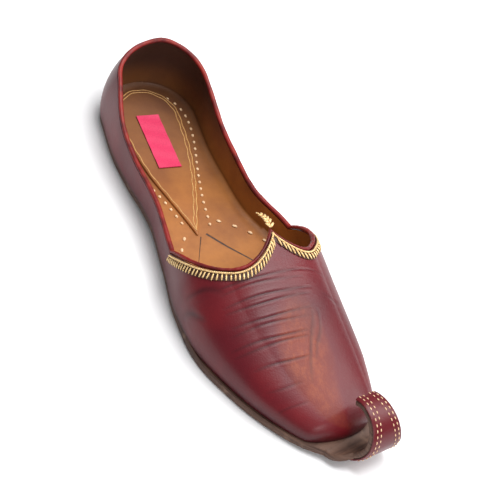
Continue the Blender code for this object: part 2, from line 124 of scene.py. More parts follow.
class Bench:
    """One material's node tree, and the only place that adds nodes to it."""

    def __init__(self, name: str) -> None:
        """Starts a material with an empty Principled shader.

        Args:
            name: the material's name.
        """
        self.material = bpy.data.materials.new(name)
        self.material.use_nodes = True
        self.tree = self.material.node_tree
        self.shader = self.tree.nodes["Principled BSDF"]

    def node(
        self,
        kind: str,
        settings: Mapping[str, Any] | None = None,
        values: Mapping[int | str, "Wire | float | Sequence[float]"] | None = None,
        output: int | str = 0,
    ) -> Wire:
        """Adds a node.

        Args:
            kind: Blender's name of the node's type.
            settings: its properties, set first.
            values: numbers, colours or wires for its input sockets, by index or name.
            output: the output socket to hand back.

        Returns:
            The chosen output as a wire.
        """
        made = self.tree.nodes.new(kind)
        for key, value in (settings or {}).items():
            setattr(made, key, value)
        for key, value in (values or {}).items():
            self.feed(made.inputs[key], value)
        return Wire(self, made.outputs[output])

    def feed(self, socket: bpy.types.NodeSocket, value: "Wire | float | Sequence[float]") -> None:
        """Links a wire to a socket, or sets the socket to a value."""
        if isinstance(value, Wire):
            self.tree.links.new(value.socket, socket)
        else:
            socket.default_value = value

    def mix(self, part: Wire, first: Any, second: Any, blend: str = "MIX") -> Wire:
        """The colour first turned into second by part."""
        settings = {"data_type": "RGBA", "blend_type": blend}
        return self.node("ShaderNodeMix", settings, {0: part, 6: first, 7: second}, output=2)

    def place(self) -> Wire:
        """The point on the object, in metres."""
        return self.node("ShaderNodeTexCoord", output="Object")

    def stretched(self, x: float, y: float, z: float) -> Wire:
        """The point with each axis scaled, for a texture that runs one way."""
        values = {0: self.place(), 1: (x, y, z)}
        return self.node("ShaderNodeVectorMath", {"operation": "MULTIPLY"}, values)

    def axis(self, name: str) -> Wire:
        """One coordinate of the point on the object, X, Y or Z."""
        return self.node("ShaderNodeSeparateXYZ", values={0: self.place()}, output=name)

    def noise(
        self, scale: float, detail: float = 3.0, where: Wire | None = None, rough: float = 0.5
    ) -> Wire:
        """Soft noise from 0 to 1 with scale waves to the metre."""
        values = {"Vector": where or self.place(), "Scale": scale, "Detail": detail, "Roughness": rough}
        return self.node("ShaderNodeTexNoise", values=values)

    def cells(self, scale: float) -> Wire:
        """Distance pattern of leather's pores with scale cells to the metre."""
        return self.node("ShaderNodeTexVoronoi", values={"Vector": self.place(), "Scale": scale})

    def mask(self, name: str) -> Wire:
        """A mask that the mesh carries."""
        return self.node("ShaderNodeAttribute", {"attribute_name": name}, output="Fac")

    def bump(
        self, height: Wire, depth: float, strength: float = 1.0, over: Wire | None = None
    ) -> Wire:
        """A Bump node on a height map; depth is in metres."""
        values: dict[int | str, Any] = {"Height": height, "Distance": depth, "Strength": strength}
        if over is not None:
            values["Normal"] = over
        return self.node("ShaderNodeBump", values=values, output="Normal")

    def finish(self, **sockets: Any) -> bpy.types.Material:
        """Feeds the shader's sockets, given by name with _ for a space, and hands back the material."""
        for name, value in sockets.items():
            self.feed(self.shader.inputs[name.replace("_", " ")], value)
        return self.material


# Finishes


@dataclass(frozen=True)
class UpperLeather:
    """Glossy maroon leather: fine grain, cloudy dye, painted shade in the creases and at the wall's foot,
    and a rubbed brown patch.
    """

    name: str = "maroon_leather"
    dye: Colour = srgb(88, 6, 20)
    # deep: a darker maroon, for the dye's random clouds and for the painted shade in the creases and at the
    # wall's foot
    deep: Colour = srgb(44, 2, 10)
    warm: Colour = srgb(106, 12, 22)
    rubbed: Colour = srgb(144, 68, 36)
    gloss: float = 0.40
    grain: float = 0.00009

    def make(self) -> bpy.types.Material:
        """Builds the material."""
        bench = Bench(self.name)
        cloud = bench.noise(26, 4).between(0.35, 0.7)
        fine = bench.noise(420, 3, rough=0.7)
        colour = bench.mix(cloud, self.dye, self.warm)
        colour = bench.mix(bench.noise(9, 2).between(0.45, 0.75) * 0.45, colour, self.deep)
        streaks = bench.noise(260, 4, where=bench.stretched(1.0, 0.45, 1.0), rough=0.8)
        worn = bench.mask("rubbed") * (streaks.between(0.42, 0.66) * 0.35 + 0.40)
        colour = bench.mix(worn, colour, self.rubbed)
        # Painted shade: darker in the creases' troughs
        colour = bench.mix(bench.mask("crease") * 0.85, colour, self.deep)
        # Painted shade: darker along the wall's foot, where the upper meets the sole
        colour = bench.mix(bench.mask("foot") * 0.8, colour, self.deep)
        pores = bench.cells(1050).between(0.0, 0.7)
        skin = bench.bump(pores * 0.6 + fine * 0.8, self.grain, 0.5)
        skin = bench.bump(bench.noise(70, 2), 0.0006, 0.35, over=skin)
        rough = fine * 0.10 + bench.noise(30, 3) * 0.12 + (self.gloss - 0.11)
        rough = rough + bench.mask("rubbed") * 0.12
        return bench.finish(
            Base_Color=colour,
            Roughness=rough,
            Normal=skin,
            Specular_IOR_Level=0.36,
            Coat_Weight=0.05,
            Coat_Roughness=0.25,
        )


@dataclass(frozen=True)
class LiningLeather:
    """Tan sock and lining leather, with painted shade that makes it darker and redder toward the heel, and
    on the wall also higher up.
    """

    name: str = "tan_leather"
    tan: Colour = srgb(172, 108, 46)
    worn: Colour = srgb(140, 82, 34)
    # heel: the colour of the painted shade inside the heel
    heel: Colour = srgb(66, 45, 40)
    gloss: float = 0.42
    heel_starts: float = 0.0
    heel_ends: float = 150 * MM
    wall: bool = False

    def make(self) -> bpy.types.Material:
        """Builds the material."""
        bench = Bench(self.name)
        colour = bench.mix(bench.noise(38, 5, rough=0.6).between(0.3, 0.75), self.tan, self.worn)
        streak = bench.noise(60, 4, where=bench.stretched(1.0, 0.35, 1.0)).between(0.55, 0.8)
        colour = bench.mix(streak * 0.35, colour, self.worn)
        # Painted shade: darker toward the heel, and on the wall also higher up, for the shadow inside the
        # shoe
        depth = bench.axis("Y").between(self.heel_starts, self.heel_ends)
        if self.wall:
            depth = (depth * 0.6 + bench.axis("Z").between(8 * MM, 42 * MM) * 0.55).between(0.1, 1.0)
        colour = bench.mix(depth * (0.95 if self.wall else 0.7), colour, self.heel)
        fine = bench.noise(650, 3, rough=0.7)
        skin = bench.bump(bench.cells(1300).between(0.0, 0.7) * 0.5 + fine, 0.00007, 0.45)
        skin = bench.bump(bench.noise(55, 3), 0.0005, 0.4, over=skin)
        return bench.finish(
            Base_Color=colour, Roughness=fine * 0.14 + self.gloss, Normal=skin, Specular_IOR_Level=0.4
        )


@dataclass(frozen=True)
class SoleLeather:
    """Thick brown sole leather with a cut edge that shows its layers."""

    name: str = "sole_leather"
    brown: Colour = srgb(104, 76, 62)
    dark: Colour = srgb(66, 44, 36)
    pale: Colour = srgb(134, 104, 84)

    def make(self) -> bpy.types.Material:
        """Builds the material."""
        bench = Bench(self.name)
        layers = bench.noise(30, 5, where=bench.stretched(1.0, 1.0, 30.0), rough=0.65)
        colour = bench.mix(layers.between(0.35, 0.7), self.brown, self.dark)
        colour = bench.mix(bench.noise(160, 3).between(0.55, 0.8) * 0.6, colour, self.pale)
        fibres = bench.noise(700, 3, rough=0.75)
        skin = bench.bump(layers + fibres * 0.5, 0.00022, 0.6)
        rough = fibres * 0.15 + 0.5
        return bench.finish(Base_Color=colour, Roughness=rough, Normal=skin, Specular_IOR_Level=0.35)


@dataclass(frozen=True)
class BindingLeather:
    """Folded red edge leather, rubbed lighter along its crown."""

    name: str = "red_binding"
    red: Colour = srgb(128, 22, 20)
    dark: Colour = srgb(82, 10, 14)
    rubbed: Colour = srgb(158, 48, 34)

    def make(self) -> bpy.types.Material:
        """Builds the material."""
        bench = Bench(self.name)
        colour = bench.mix(bench.noise(75, 4).between(0.35, 0.7), self.red, self.dark)
        worn = bench.mask("crown") * bench.noise(140, 3).between(0.35, 0.7) * 0.7
        colour = bench.mix(worn, colour, self.rubbed)
        fine = bench.noise(800, 3, rough=0.7)
        skin = bench.bump(fine + bench.noise(190, 2) * 1.5, 0.00012, 0.55)
        rough = fine * 0.12 + 0.42
        return bench.finish(Base_Color=colour, Roughness=rough, Normal=skin, Specular_IOR_Level=0.35)


@dataclass(frozen=True)
class Thread:
    """Twisted thread, metallic gold or waxed cream."""

    name: str
    bright: Colour
    shade: Colour
    metallic: float
    gloss: float

    def make(self) -> bpy.types.Material:
        """Builds the material."""
        bench = Bench(self.name)
        twist = bench.noise(1500, 2, where=bench.stretched(1.0, 1.6, 1.0), rough=0.6)
        colour = bench.mix(twist.between(0.38, 0.66), self.bright, self.shade)
        return bench.finish(
            Base_Color=colour,
            Metallic=self.metallic,
            Roughness=twist * 0.2 + self.gloss,
            Normal=bench.bump(twist, 0.00012, 0.6),
        )


@dataclass(frozen=True)
class BraidGround:
    """The dark leather ground that shows between the braid's stitches."""

    name: str = "braid_ground"
    brown: Colour = srgb(74, 40, 24)
    dark: Colour = srgb(46, 14, 14)

    def make(self) -> bpy.types.Material:
        """Builds the material."""
        bench = Bench(self.name)
        colour = bench.mix(bench.noise(320, 3).between(0.35, 0.7), self.brown, self.dark)
        skin = bench.bump(bench.noise(900, 3), 0.0001, 0.5)
        return bench.finish(Base_Color=colour, Roughness=bench.noise(500) * 0.2 + 0.45, Normal=skin)


@dataclass(frozen=True)
class PinkCloth:
    """The bare pink patch: close satin weave."""

    name: str = "pink_cloth"
    pink: Colour = srgb(214, 48, 92)
    shade: Colour = srgb(184, 30, 72)
    threads: float = 2600.0

    def make(self) -> bpy.types.Material:
        """Builds the material."""
        bench = Bench(self.name)
        weave = bench.noise(self.threads, 1, where=bench.stretched(1.0, 0.3, 1.0))
        colour = bench.mix(weave.between(0.35, 0.7) * 0.5, self.pink, self.shade)
        colour = bench.mix(bench.noise(120, 2).between(0.5, 0.8) * 0.3, colour, self.shade)
        skin = bench.bump(weave, 0.00006, 0.5)
        return bench.finish(Base_Color=colour, Roughness=weave * 0.15 + 0.5, Normal=skin)


@dataclass(frozen=True)
class StudioPaper:
    """The plain pale floor."""

    name: str = "studio_paper"
    white: Colour = srgb(252, 252, 252)
    shade: Colour = srgb(246, 246, 247)

    def make(self) -> bpy.types.Material:
        """Builds the material."""
        bench = Bench(self.name)
        colour = bench.mix(bench.noise(3, 2), self.white, self.shade)
        rough = bench.noise(40) * 0.05 + 0.85
        return bench.finish(Base_Color=colour, Roughness=rough, Specular_IOR_Level=0.1)


GOLD_THREAD = Thread("gold_thread", srgb(246, 216, 158), srgb(190, 142, 78), 0.35, 0.32)
CREAM_THREAD = Thread("cream_thread", srgb(244, 212, 172), srgb(206, 158, 112), 0.0, 0.45)
SEAM_THREAD = Thread("seam_thread", srgb(214, 168, 104), srgb(168, 116, 62), 0.0, 0.5)


# Meshes


def unit(vectors: np.ndarray) -> np.ndarray:
    """The vectors at length 1."""
    return vectors / np.maximum(np.linalg.norm(vectors, axis=-1, keepdims=True), 1e-12)


def grid_faces(
    rows: int, columns: int, wraps: bool, start: int = 0, turned: bool = False
) -> np.ndarray:
    """Quads of a grid whose vertices are numbered row by row.

    Args:
        rows: vertices along the first index.
        columns: vertices along the second.
        wraps: whether the last row joins the first.
        start: number of the grid's first vertex.
        turned: whether the faces look the other way.
    """
    i = np.arange(rows if wraps else rows - 1)[:, None]
    j = np.arange(columns - 1)[None, :]
    n = (i + 1) % rows
    near, far = i * columns + j, n * columns + j
    quads = np.stack([near, near + 1, far + 1, far], axis=-1).reshape(-1, 4) + start
    return quads[:, ::-1] if turned else quads


def ring_faces(count: int, sides: int, wraps: bool = False) -> list[tuple[int, ...]]:
    """Quads of a stack of closed rings of sides points each; wraps joins the last ring to the first."""
    i = np.arange(count if wraps else count - 1)[:, None]
    k = np.arange(sides)[None, :]
    n, m = (i + 1) % count, (k + 1) % sides
    corners = np.broadcast_arrays(i * sides + k, i * sides + m, n * sides + m, n * sides + k)
    return [tuple(quad) for quad in np.stack(corners, axis=-1).reshape(-1, 4)]


@dataclass
class Piece:
    """A mesh on its way into the scene: vertices, faces, a finish for each face, masks for each vertex."""

    name: str
    slot: Slot
    node: str | None = None
    vertices: list[np.ndarray] = field(default_factory=list)
    faces: list[tuple[int, ...]] = field(default_factory=list)
    finish_of_face: list[int] = field(default_factory=list)
    masks: dict[str, np.ndarray] = field(default_factory=dict)
    count: int = 0

    def add(self, vertices: np.ndarray, faces: Sequence[Sequence[int]]) -> None:
        """Adds vertices, and faces of the first finish that number them from their own first one."""
        vertices = np.asarray(vertices, float).reshape(-1, 3)
        self.faces += [tuple(int(v) + self.count for v in face) for face in faces]
        self.finish_of_face += [0] * len(faces)
        self.vertices.append(vertices)
        self.count += len(vertices)

    def add_shell(
        self,
        high: np.ndarray,
        low: np.ndarray,
        turned: bool = False,
        ends: tuple[bool, bool] = (True, True),
        under: bool = True,
    ) -> None:
        """Adds the skin round two grids of one size.

        Args:
            high: the grid of the face that shows.
            low: the grid under it.
            turned: whether the face that shows looks the other way.
            ends: whether the first and the last row are closed.
            under: whether the low grid has its face.
        """
        rows, columns = high.shape[:2]
        below = rows * columns
        faces = [*map(tuple, grid_faces(rows, columns, False, turned=turned))]
        if under:
            faces += map(tuple, grid_faces(rows, columns, False, below, not turned))
        i, j = np.arange(rows - 1) * columns, np.arange(columns - 1)
        rims = [(i + edge, i + edge + columns) for edge in (0, columns - 1)]
        closed = [row * columns for row, shut in zip((0, rows - 1), ends) if shut]
        rims += [(first + j, first + j + 1) for first in closed]
        for a, b in rims:
            faces += map(tuple, np.stack([a, b, b + below, a + below], axis=-1))
        self.add(np.concatenate([high.reshape(-1, 3), low.reshape(-1, 3)]), faces)

    def build(
        self, finishes: Sequence[bpy.types.Material], sharp_deg: float = 60.0
    ) -> bpy.types.Object:
        """Makes the object, dresses it and ties it to the frame.

        Args:
            finishes: the piece's materials, in the order that its faces number them.
            sharp_deg: faces that meet at more than this angle keep a hard edge.

        Returns:
            The object.
        """
        mesh = bpy.data.meshes.new(self.name)
        mesh.from_pydata(np.concatenate(self.vertices).tolist(), [], self.faces)
        for material in finishes:
            mesh.materials.append(material)
        mesh.polygons.foreach_set("material_index", np.asarray(self.finish_of_face, np.int32))
        for mask, values in self.masks.items():
            layer = mesh.attributes.new(mask, "FLOAT", "POINT")
            layer.data.foreach_set("value", np.resize(values, len(mesh.vertices)).astype(np.float32))
        mesh.shade_smooth()
        mesh.set_sharp_from_angle(angle=math.radians(sharp_deg))
        mesh.update()
        thing = bpy.data.objects.new(self.name, mesh)
        bpy.context.scene.collection.objects.link(thing)
        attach(thing, "root")
        if self.node:
            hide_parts(self.node)
        LOG.info("%s: %d faces", self.name, len(self.faces))
        return thing


def add_tube(
    piece: Piece,
    path: np.ndarray,
    side: np.ndarray,
    up: np.ndarray,
    wide: Number,
    high: Number,
    sides: int = 8,
    wraps: bool = False,
) -> None:
    """Adds an oval tube along a path.

    Args:
        piece: what it belongs to.
        path: its centre points.
        side: unit directions of its width.
        up: unit directions of its height.
        wide: half widths.
        high: half heights.
        sides: points round it.
        wraps: whether it closes on itself.
    """
    count = len(path)
    wide = np.broadcast_to(wide, count)[:, None, None]
    high = np.broadcast_to(high, count)[:, None, None]
    angle = np.arange(sides) * 2 * math.pi / sides
    ring = path[:, None] + side[:, None] * wide * np.cos(angle)[:, None]
    ring = ring + up[:, None] * high * np.sin(angle)[:, None]
    faces = ring_faces(count, sides, wraps)
    if not wraps:
        faces += [tuple(range(sides))[::-1], tuple(range((count - 1) * sides, count * sides))]
    piece.add(ring, faces)


def add_stitch(
    piece: Piece, centre: np.ndarray, along: np.ndarray, up: np.ndarray, size: Size3
) -> None:
    """Adds one plump stitch.

    Args:
        piece: what it belongs to.
        centre: its middle.
        along: direction of its length.
        up: the surface's outward direction under it.
        size: its length, width and height.
    """
    along = unit(along)
    side = unit(np.cross(up, along))
    up = np.cross(along, side)
    steps = np.array([-1.0, -0.82, -0.4, 0.0, 0.4, 0.82, 1.0])
    swell = np.array([0.25, 0.72, 0.96, 1.0, 0.96, 0.72, 0.25])
    bow = (1 - steps[:, None] ** 2) * size[2] * 0.25
    path = centre + along * (steps[:, None] * size[0] / 2) + up * bow
    side, up = np.broadcast_to(side, path.shape), np.broadcast_to(up, path.shape)
    add_tube(piece, path, side, up, swell * size[1] / 2, swell * size[2] / 2, 6)


def evenly(path: np.ndarray, pitch: float) -> tuple[np.ndarray, np.ndarray]:
    """Points one pitch apart along a path, with the path's direction at each.

    Args:
        path: the points that it runs through.
        pitch: the distance between two of the new points.

    Returns:
        The points and their unit directions.
    """
    step = np.linalg.norm(np.diff(path, axis=0), axis=1)
    run = np.concatenate([[0.0], np.cumsum(step)])
    count = max(int(round(run[-1] / pitch)), 2)
    places = np.linspace(0.0, run[-1], count + 1)
    points = np.stack([np.interp(places, run, path[:, k]) for k in range(3)], axis=1)
    return points, unit(np.gradient(points, axis=0))


def cubic(t: Number, step: Number, ends: Sequence[Number], slopes: Sequence[Number]) -> np.ndarray:
    """The smooth curve between two values with these slopes, at share t of the step between them."""
    return (
        ends[0] * (2 * t**3 - 3 * t**2 + 1)
        + slopes[0] * step * (t**3 - 2 * t**2 + t)
        + ends[1] * (3 * t**2 - 2 * t**3)
        + slopes[1] * step * (t**3 - t**2)
    )


def curved(rows: Sequence[Sequence[float]], count: int = 80) -> np.ndarray:
    """A smooth line through a few plan points.

    Args:
        rows: the points.
        count: how many points the line gets.
    """
    knots = np.asarray(rows, float)
    run = np.concatenate([[0.0], np.cumsum(np.linalg.norm(np.diff(knots, axis=0), axis=1))])
    tangent = np.gradient(knots, run, axis=0)
    x = np.linspace(0.0, run[-1], count)
    i = np.clip(np.searchsorted(run, x, side="right") - 1, 0, len(run) - 2)
    h = (run[i + 1] - run[i])[:, None]
    t = ((x - run[i]) / h[:, 0])[:, None]
    return cubic(t, h, (knots[i], knots[i + 1]), (tangent[i], tangent[i + 1]))


# The last


class ShortTable:
    """A smooth curve through a short table that never makes a bump its rows don't name."""

    def __init__(self, places: Sequence[float], values: Sequence[float]) -> None:
        """Works out the tangents of a monotone cubic.

        Args:
            places: where each row stands, rising.
            values: the value of each row.
        """
        self.places = np.asarray(places, float)
        self.values = np.asarray(values, float)
        steps = np.diff(self.places)
        slopes = np.diff(self.values) / steps
        tangents = np.zeros(len(self.places))
        tangents[0], tangents[-1] = slopes[0], slopes[-1]
        for i in range(1, len(self.places) - 1):
            before, after = slopes[i - 1], slopes[i]
            if before * after > 0:
                near, far = 2 * steps[i] + steps[i - 1], steps[i] + 2 * steps[i - 1]
                tangents[i] = (near + far) / (near / before + far / after)
        self.steps, self.tangents = steps, tangents

    def __call__(self, x: Number) -> np.ndarray:
        """The curve's value at x, held level beyond the table's ends."""
        x = np.clip(np.asarray(x, float), self.places[0], self.places[-1])
        i = np.clip(np.searchsorted(self.places, x, side="right") - 1, 0, len(self.steps) - 1)
        h = self.steps[i]
        t = (x - self.places[i]) / h
        ends, slopes = (self.values[i], self.values[i + 1]), (self.tangents[i], self.tangents[i + 1])
        return cubic(t, h, ends, slopes)


def column(rows: Sequence[Sequence[float]], k: int) -> ShortTable:
    """The curve of one column of a table whose first column holds the places."""
    return ShortTable([row[0] for row in rows], [row[k] for row in rows])


def eased(x: Number) -> np.ndarray:
    """0 to 1 with level ends."""
    x = np.clip(np.asarray(x, float), 0.0, 1.0)
    return x * x * (3 - 2 * x)


@dataclass(frozen=True)
class Section:
    """The last's half-planes at some stations: where each stands, faces and reaches."""

    share: np.ndarray
    axis: np.ndarray
    out: np.ndarray
    reach: np.ndarray
    ridge: np.ndarray
    roundness: np.ndarray
    lift: np.ndarray
    front: np.ndarray

    def place(self, distance: np.ndarray, height: np.ndarray, shift: Number = 0.0) -> np.ndarray:
        """Points at a distance from the axis, at a height, moved sideways by shift."""
        x = self.axis[..., 0] + self.out[..., 0] * distance + shift
        y = self.axis[..., 1] + self.out[..., 1] * distance
        return np.stack(np.broadcast_arrays(x, y, height), axis=-1)


@dataclass(frozen=True)
class Last:
    """The shoe's last. A station s runs from the toe (0) to the back of the heel (1), and a runs
    across from the outer feather line (-1) over the ridge (0) to the inner feather line (1)."""

    origin_x: float = 0.0
    origin_y: float = 0.0
    sole_length: float = 287 * MM
    ball_width: float = 98 * MM
    heel_width: float = 65.5 * MM
    heel_reach: float = 33 * MM
    outsole_thickness: float = 4.8 * MM
    sole_edge: float = 1.8 * MM
    sole_tuck: float = 0.8 * MM
    arch_lift: float = 1.6 * MM
    toe_spring: float = 2.2 * MM
    toe_swing: float = 42 * MM
    toe_nose: float = 11 * MM
    tongue_width: float = 29 * MM
    wall: float = 2.2 * MM
    instep_height: float = 65 * MM
    ridge_offset: float = 3.5 * MM
    side_bulge: float = 3.2 * MM
    peak_from_toe: float = 107 * MM
    scallop_dip: float = 22 * MM
    ear_from_peak: float = 26 * MM
    ear_height: float = 22 * MM
    mid_collar_height: float = 26 * MM
    heel_collar_height: float = 50 * MM
    gap: float = 0.3 * MM
    ridge_climb: float = 7.0

    @property
    def outline(self) -> tuple[tuple[float, float, float], ...]:
        """Half widths of the sole along its length, as shares of the tongue, ball and heel widths."""
        tongue, ball, heel = self.tongue_width, self.ball_width, self.heel_width
        return (
            (0.000, tongue * 0.840, tongue * 0.500),
            (0.035, ball * 0.325, ball * 0.215),
            (0.090, ball * 0.400, ball * 0.295),
            (0.170, ball * 0.475, ball * 0.375),
            (0.270, ball * 0.522, ball * 0.437),
            (0.370, ball * 0.475, ball * 0.468),
            (0.480, ball * 0.375, ball * 0.422),
            (0.590, heel * 0.480, heel * 0.495),
            (0.690, heel * 0.535, heel * 0.455),
            (0.790, heel * 0.570, heel * 0.425),
            (0.884, heel * 0.550, heel * 0.435),
        )

    @property
    def ridge_rows(self) -> tuple[tuple[float, float, float], ...]:
        """Share of the length, ridge height as a share of the instep's, roundness of the section."""
        return (
            (0.000, 0.230, 0.80),
            (0.040, 0.320, 0.80),
            (0.100, 0.420, 0.82),
            (0.180, 0.545, 0.84),
            (0.280, 0.715, 0.86),
            (0.360, 0.860, 0.88),
            (0.430, 0.990, 0.90),
            (0.550, 1.120, 0.88),
            (0.700, 1.140, 0.98),
            (0.884, 1.150, 1.12),
        )

    @property
    def heel_station(self) -> float:
        """Where the heel's fan of sections starts."""
        return 1.0 - self.heel_reach / self.sole_length

    @property
    def peak_station(self) -> float:
        """Station of the vamp's peak."""
        return self.peak_from_toe / self.sole_length

    @property
    def ear_station(self) -> float:
        """Station where the vamp's edge meets the quarter's."""
        return (self.peak_from_toe + self.ear_from_peak) / self.sole_length

    @property
    def feather_height(self) -> float:
        """Height of the wall's foot above the sole's underside."""
        return self.outsole_thickness + self.gap

    def centre_x(self, share: Number) -> np.ndarray:
        """Sideways place of the foot's centre line, which bends inward in front of the waist."""
        return self.toe_swing * np.maximum(0.0, 1.0 - np.asarray(share) / 0.62) ** 1.6

    def centre_slope(self, share: Number) -> np.ndarray:
        """Sideways step of the centre line for a step toward the heel."""
        left = np.maximum(0.0, 1.0 - np.asarray(share) / 0.62)
        return -1.6 / 0.62 * self.toe_swing / self.sole_length * left**0.6

    def nose(self, share: Number) -> np.ndarray:
        """How far the upper has opened behind its front."""
        part = np.minimum(np.asarray(share) * self.sole_length / self.toe_nose, 1.0)
        return np.sqrt(np.maximum(0.0, 1.0 - (1.0 - part) ** 2))

    def behind_ball(self, share: Number) -> np.ndarray:
        """0 before the ball, where the sole shows beside the upper, and 1 behind it, where it doesn't."""
        return eased((np.asarray(share) - 0.22) / 0.18)

    def shown_edge(self, share: Number) -> np.ndarray:
        """How far the sole shows beside the upper's foot."""
        return self.sole_edge * (1.0 - self.behind_ball(share))

    def floor_lift(self, share: Number) -> np.ndarray:
        """Height of the sole's underside: toe spring in front, a low arch under the waist."""
        share = np.asarray(share, float)
        spring = self.toe_spring * np.maximum(0.0, 1.0 - share / 0.16) ** 2
        arch = self.arch_lift * np.sin(math.pi * np.clip((share - 0.44) / 0.30, 0.0, 1.0)) ** 2
        return spring + arch

    def half_width(self, share: Number, side: Number) -> np.ndarray:
        """Half width of the sole on the outer (-1) or inner (1) side."""
        outer, inner = (column(self.outline, k)(share) for k in (1, 2))
        return np.where(np.asarray(side) < 0, outer, inner)

    def section(self, s: Number, side: Number) -> Section:
        """The half-planes at stations s on a side."""
        s, side = np.broadcast_arrays(np.asarray(s, float), np.asarray(side, float))
        start = self.heel_station
        share = np.minimum(s, start)
        turn = np.maximum(0.0, (s - start) / (1.0 - start)) * math.pi / 2
        bend = np.arctan(self.centre_slope(share))
        y = self.origin_y + (share - 0.5) * self.sole_length
        axis = np.stack([self.origin_x + self.centre_x(share), y], axis=-1)
        out = np.stack([side * np.cos(turn - side * bend), np.sin(turn - side * bend)], axis=-1)
        width = self.half_width(share, side)
        reach = 1.0 / np.hypot(np.cos(turn) / width, np.sin(turn) / self.heel_reach)
        return Section(
            share=share,
            axis=axis,
            out=out,
            reach=reach,
            ridge=self.instep_height * column(self.ridge_rows, 1)(share),
            roundness=column(self.ridge_rows, 2)(share),
            lift=self.floor_lift(share),
            front=1.0 - eased((share - 0.45) / 0.25),
        )

    def face(self, s: Number, a: Number) -> np.ndarray:
        """Points of the upper's outer face."""
        s, a = np.broadcast_arrays(np.asarray(s, float), np.asarray(a, float))
        section = self.section(s, np.where(a < 0, -1.0, 1.0))
        across = np.abs(a)
        rise = np.clip(1.0 - across, 0.0, 1.0) * math.pi / 2
        foot = section.lift + self.feather_height
        opened = self.nose(section.share)
        up = np.sin(rise)
        height = foot + (section.ridge - self.feather_height) * up**section.roundness * opened
        aside = np.maximum(np.cos(rise), 0.0)
        reach = (section.reach - self.shown_edge(section.share)) * aside**section.roundness * opened
        bulge = self.side_bulge * np.sin(math.pi * np.minimum(1.0, (1.0 - across) * 1.7))
        bulge = bulge * np.minimum(1.0, section.share / 0.12)
        shift = self.ridge_offset * up**1.5 * section.front
        return section.place(reach + bulge, height, shift)

    def across_at_height(self, s: Number, side: Number, height: Number) -> np.ndarray:
        """The a at which the last's section reaches a height."""
        section = self.section(s, side)
        foot = section.lift + self.feather_height
        part = np.clip((height - foot) / (section.ridge - self.feather_height), 0.0, 1.0)
        rise = np.arcsin(part ** (1.0 / section.roundness))
        return np.asarray(side) * (1.0 - rise / (math.pi / 2))

    def collar_height(self, s: Number) -> np.ndarray:
        """Height of the quarter's edge from the ear to the back of the heel."""
        part = (np.asarray(s) - self.ear_station) / (1.0 - self.ear_station)
        heights = (self.ear_height, self.mid_collar_height, self.heel_collar_height)
        return ShortTable((0.0, 0.45, 1.0), heights)(part)

    def open_edge(self, side: np.ndarray, part: np.ndarray) -> tuple[np.ndarray, np.ndarray]:
        """(s, a) on the open edge: part 0 is the vamp's peak, 0.5 the ear, 1 the back of the heel."""
        t = np.clip(part / 0.5, 0.0, 1.0)
        ear = self.across_at_height(self.ear_station, side, self.ear_height)
        dip = self.scallop_dip / self.sole_length * np.sin(math.pi * t**0.8)
        front_s = self.peak_station + (self.ear_station - self.peak_station) * t - dip
        back_s = self.ear_station + (1.0 - self.ear_station) * np.clip((part - 0.5) / 0.5, 0.0, 1.0)
        back_a = self.across_at_height(back_s, side, self.collar_height(back_s))
        front = part <= 0.5
        return np.where(front, front_s, back_s), np.where(front, ear * t, back_a)

    def foot_line(self, side: np.ndarray, part: np.ndarray) -> tuple[np.ndarray, np.ndarray]:
        """(s, a) on the feather line that belongs to the same part of the open edge."""
        front_s = self.ear_station * np.clip(part / 0.5, 0.0, 1.0) ** 1.7
        back_s = self.ear_station + (1.0 - self.ear_station) * (part - 0.5) / 0.5
        return np.where(part <= 0.5, front_s, back_s), np.asarray(side, float)

    def wall_stations(
        self, side: np.ndarray, part: np.ndarray, v: np.ndarray
    ) -> tuple[np.ndarray, np.ndarray]:
        """(s, a) of the wall: part runs round from the toe to the heel, v from the sole to the edge."""
        foot_s, foot_a = self.foot_line(side, part)
        top_s, top_a = self.open_edge(side, part)
        along = v ** (1.0 + 0.8 * np.maximum(0.0, 1.0 - part / 0.35))
        # The ribs of the vamp's middle climb onto the ridge at the toe and then run along it
        climb = 1.0 + (self.ridge_climb - 1.0) * np.maximum(0.0, 1.0 - part / 0.3)
        across = 1.0 - (1.0 - v) ** climb
        return foot_s + (top_s - foot_s) * along, foot_a + (top_a - foot_a) * across


# Sub-assemblies


@dataclass(frozen=True)
class Crease:
    """A crease of the vamp: its two ends as (distance from the toe, share across), depth and bow."""

    start: tuple[float, float]
    end: tuple[float, float]
    depth: float = 0.55 * MM
    half_width: float = 0.6 * MM
    bow: float = 0.0


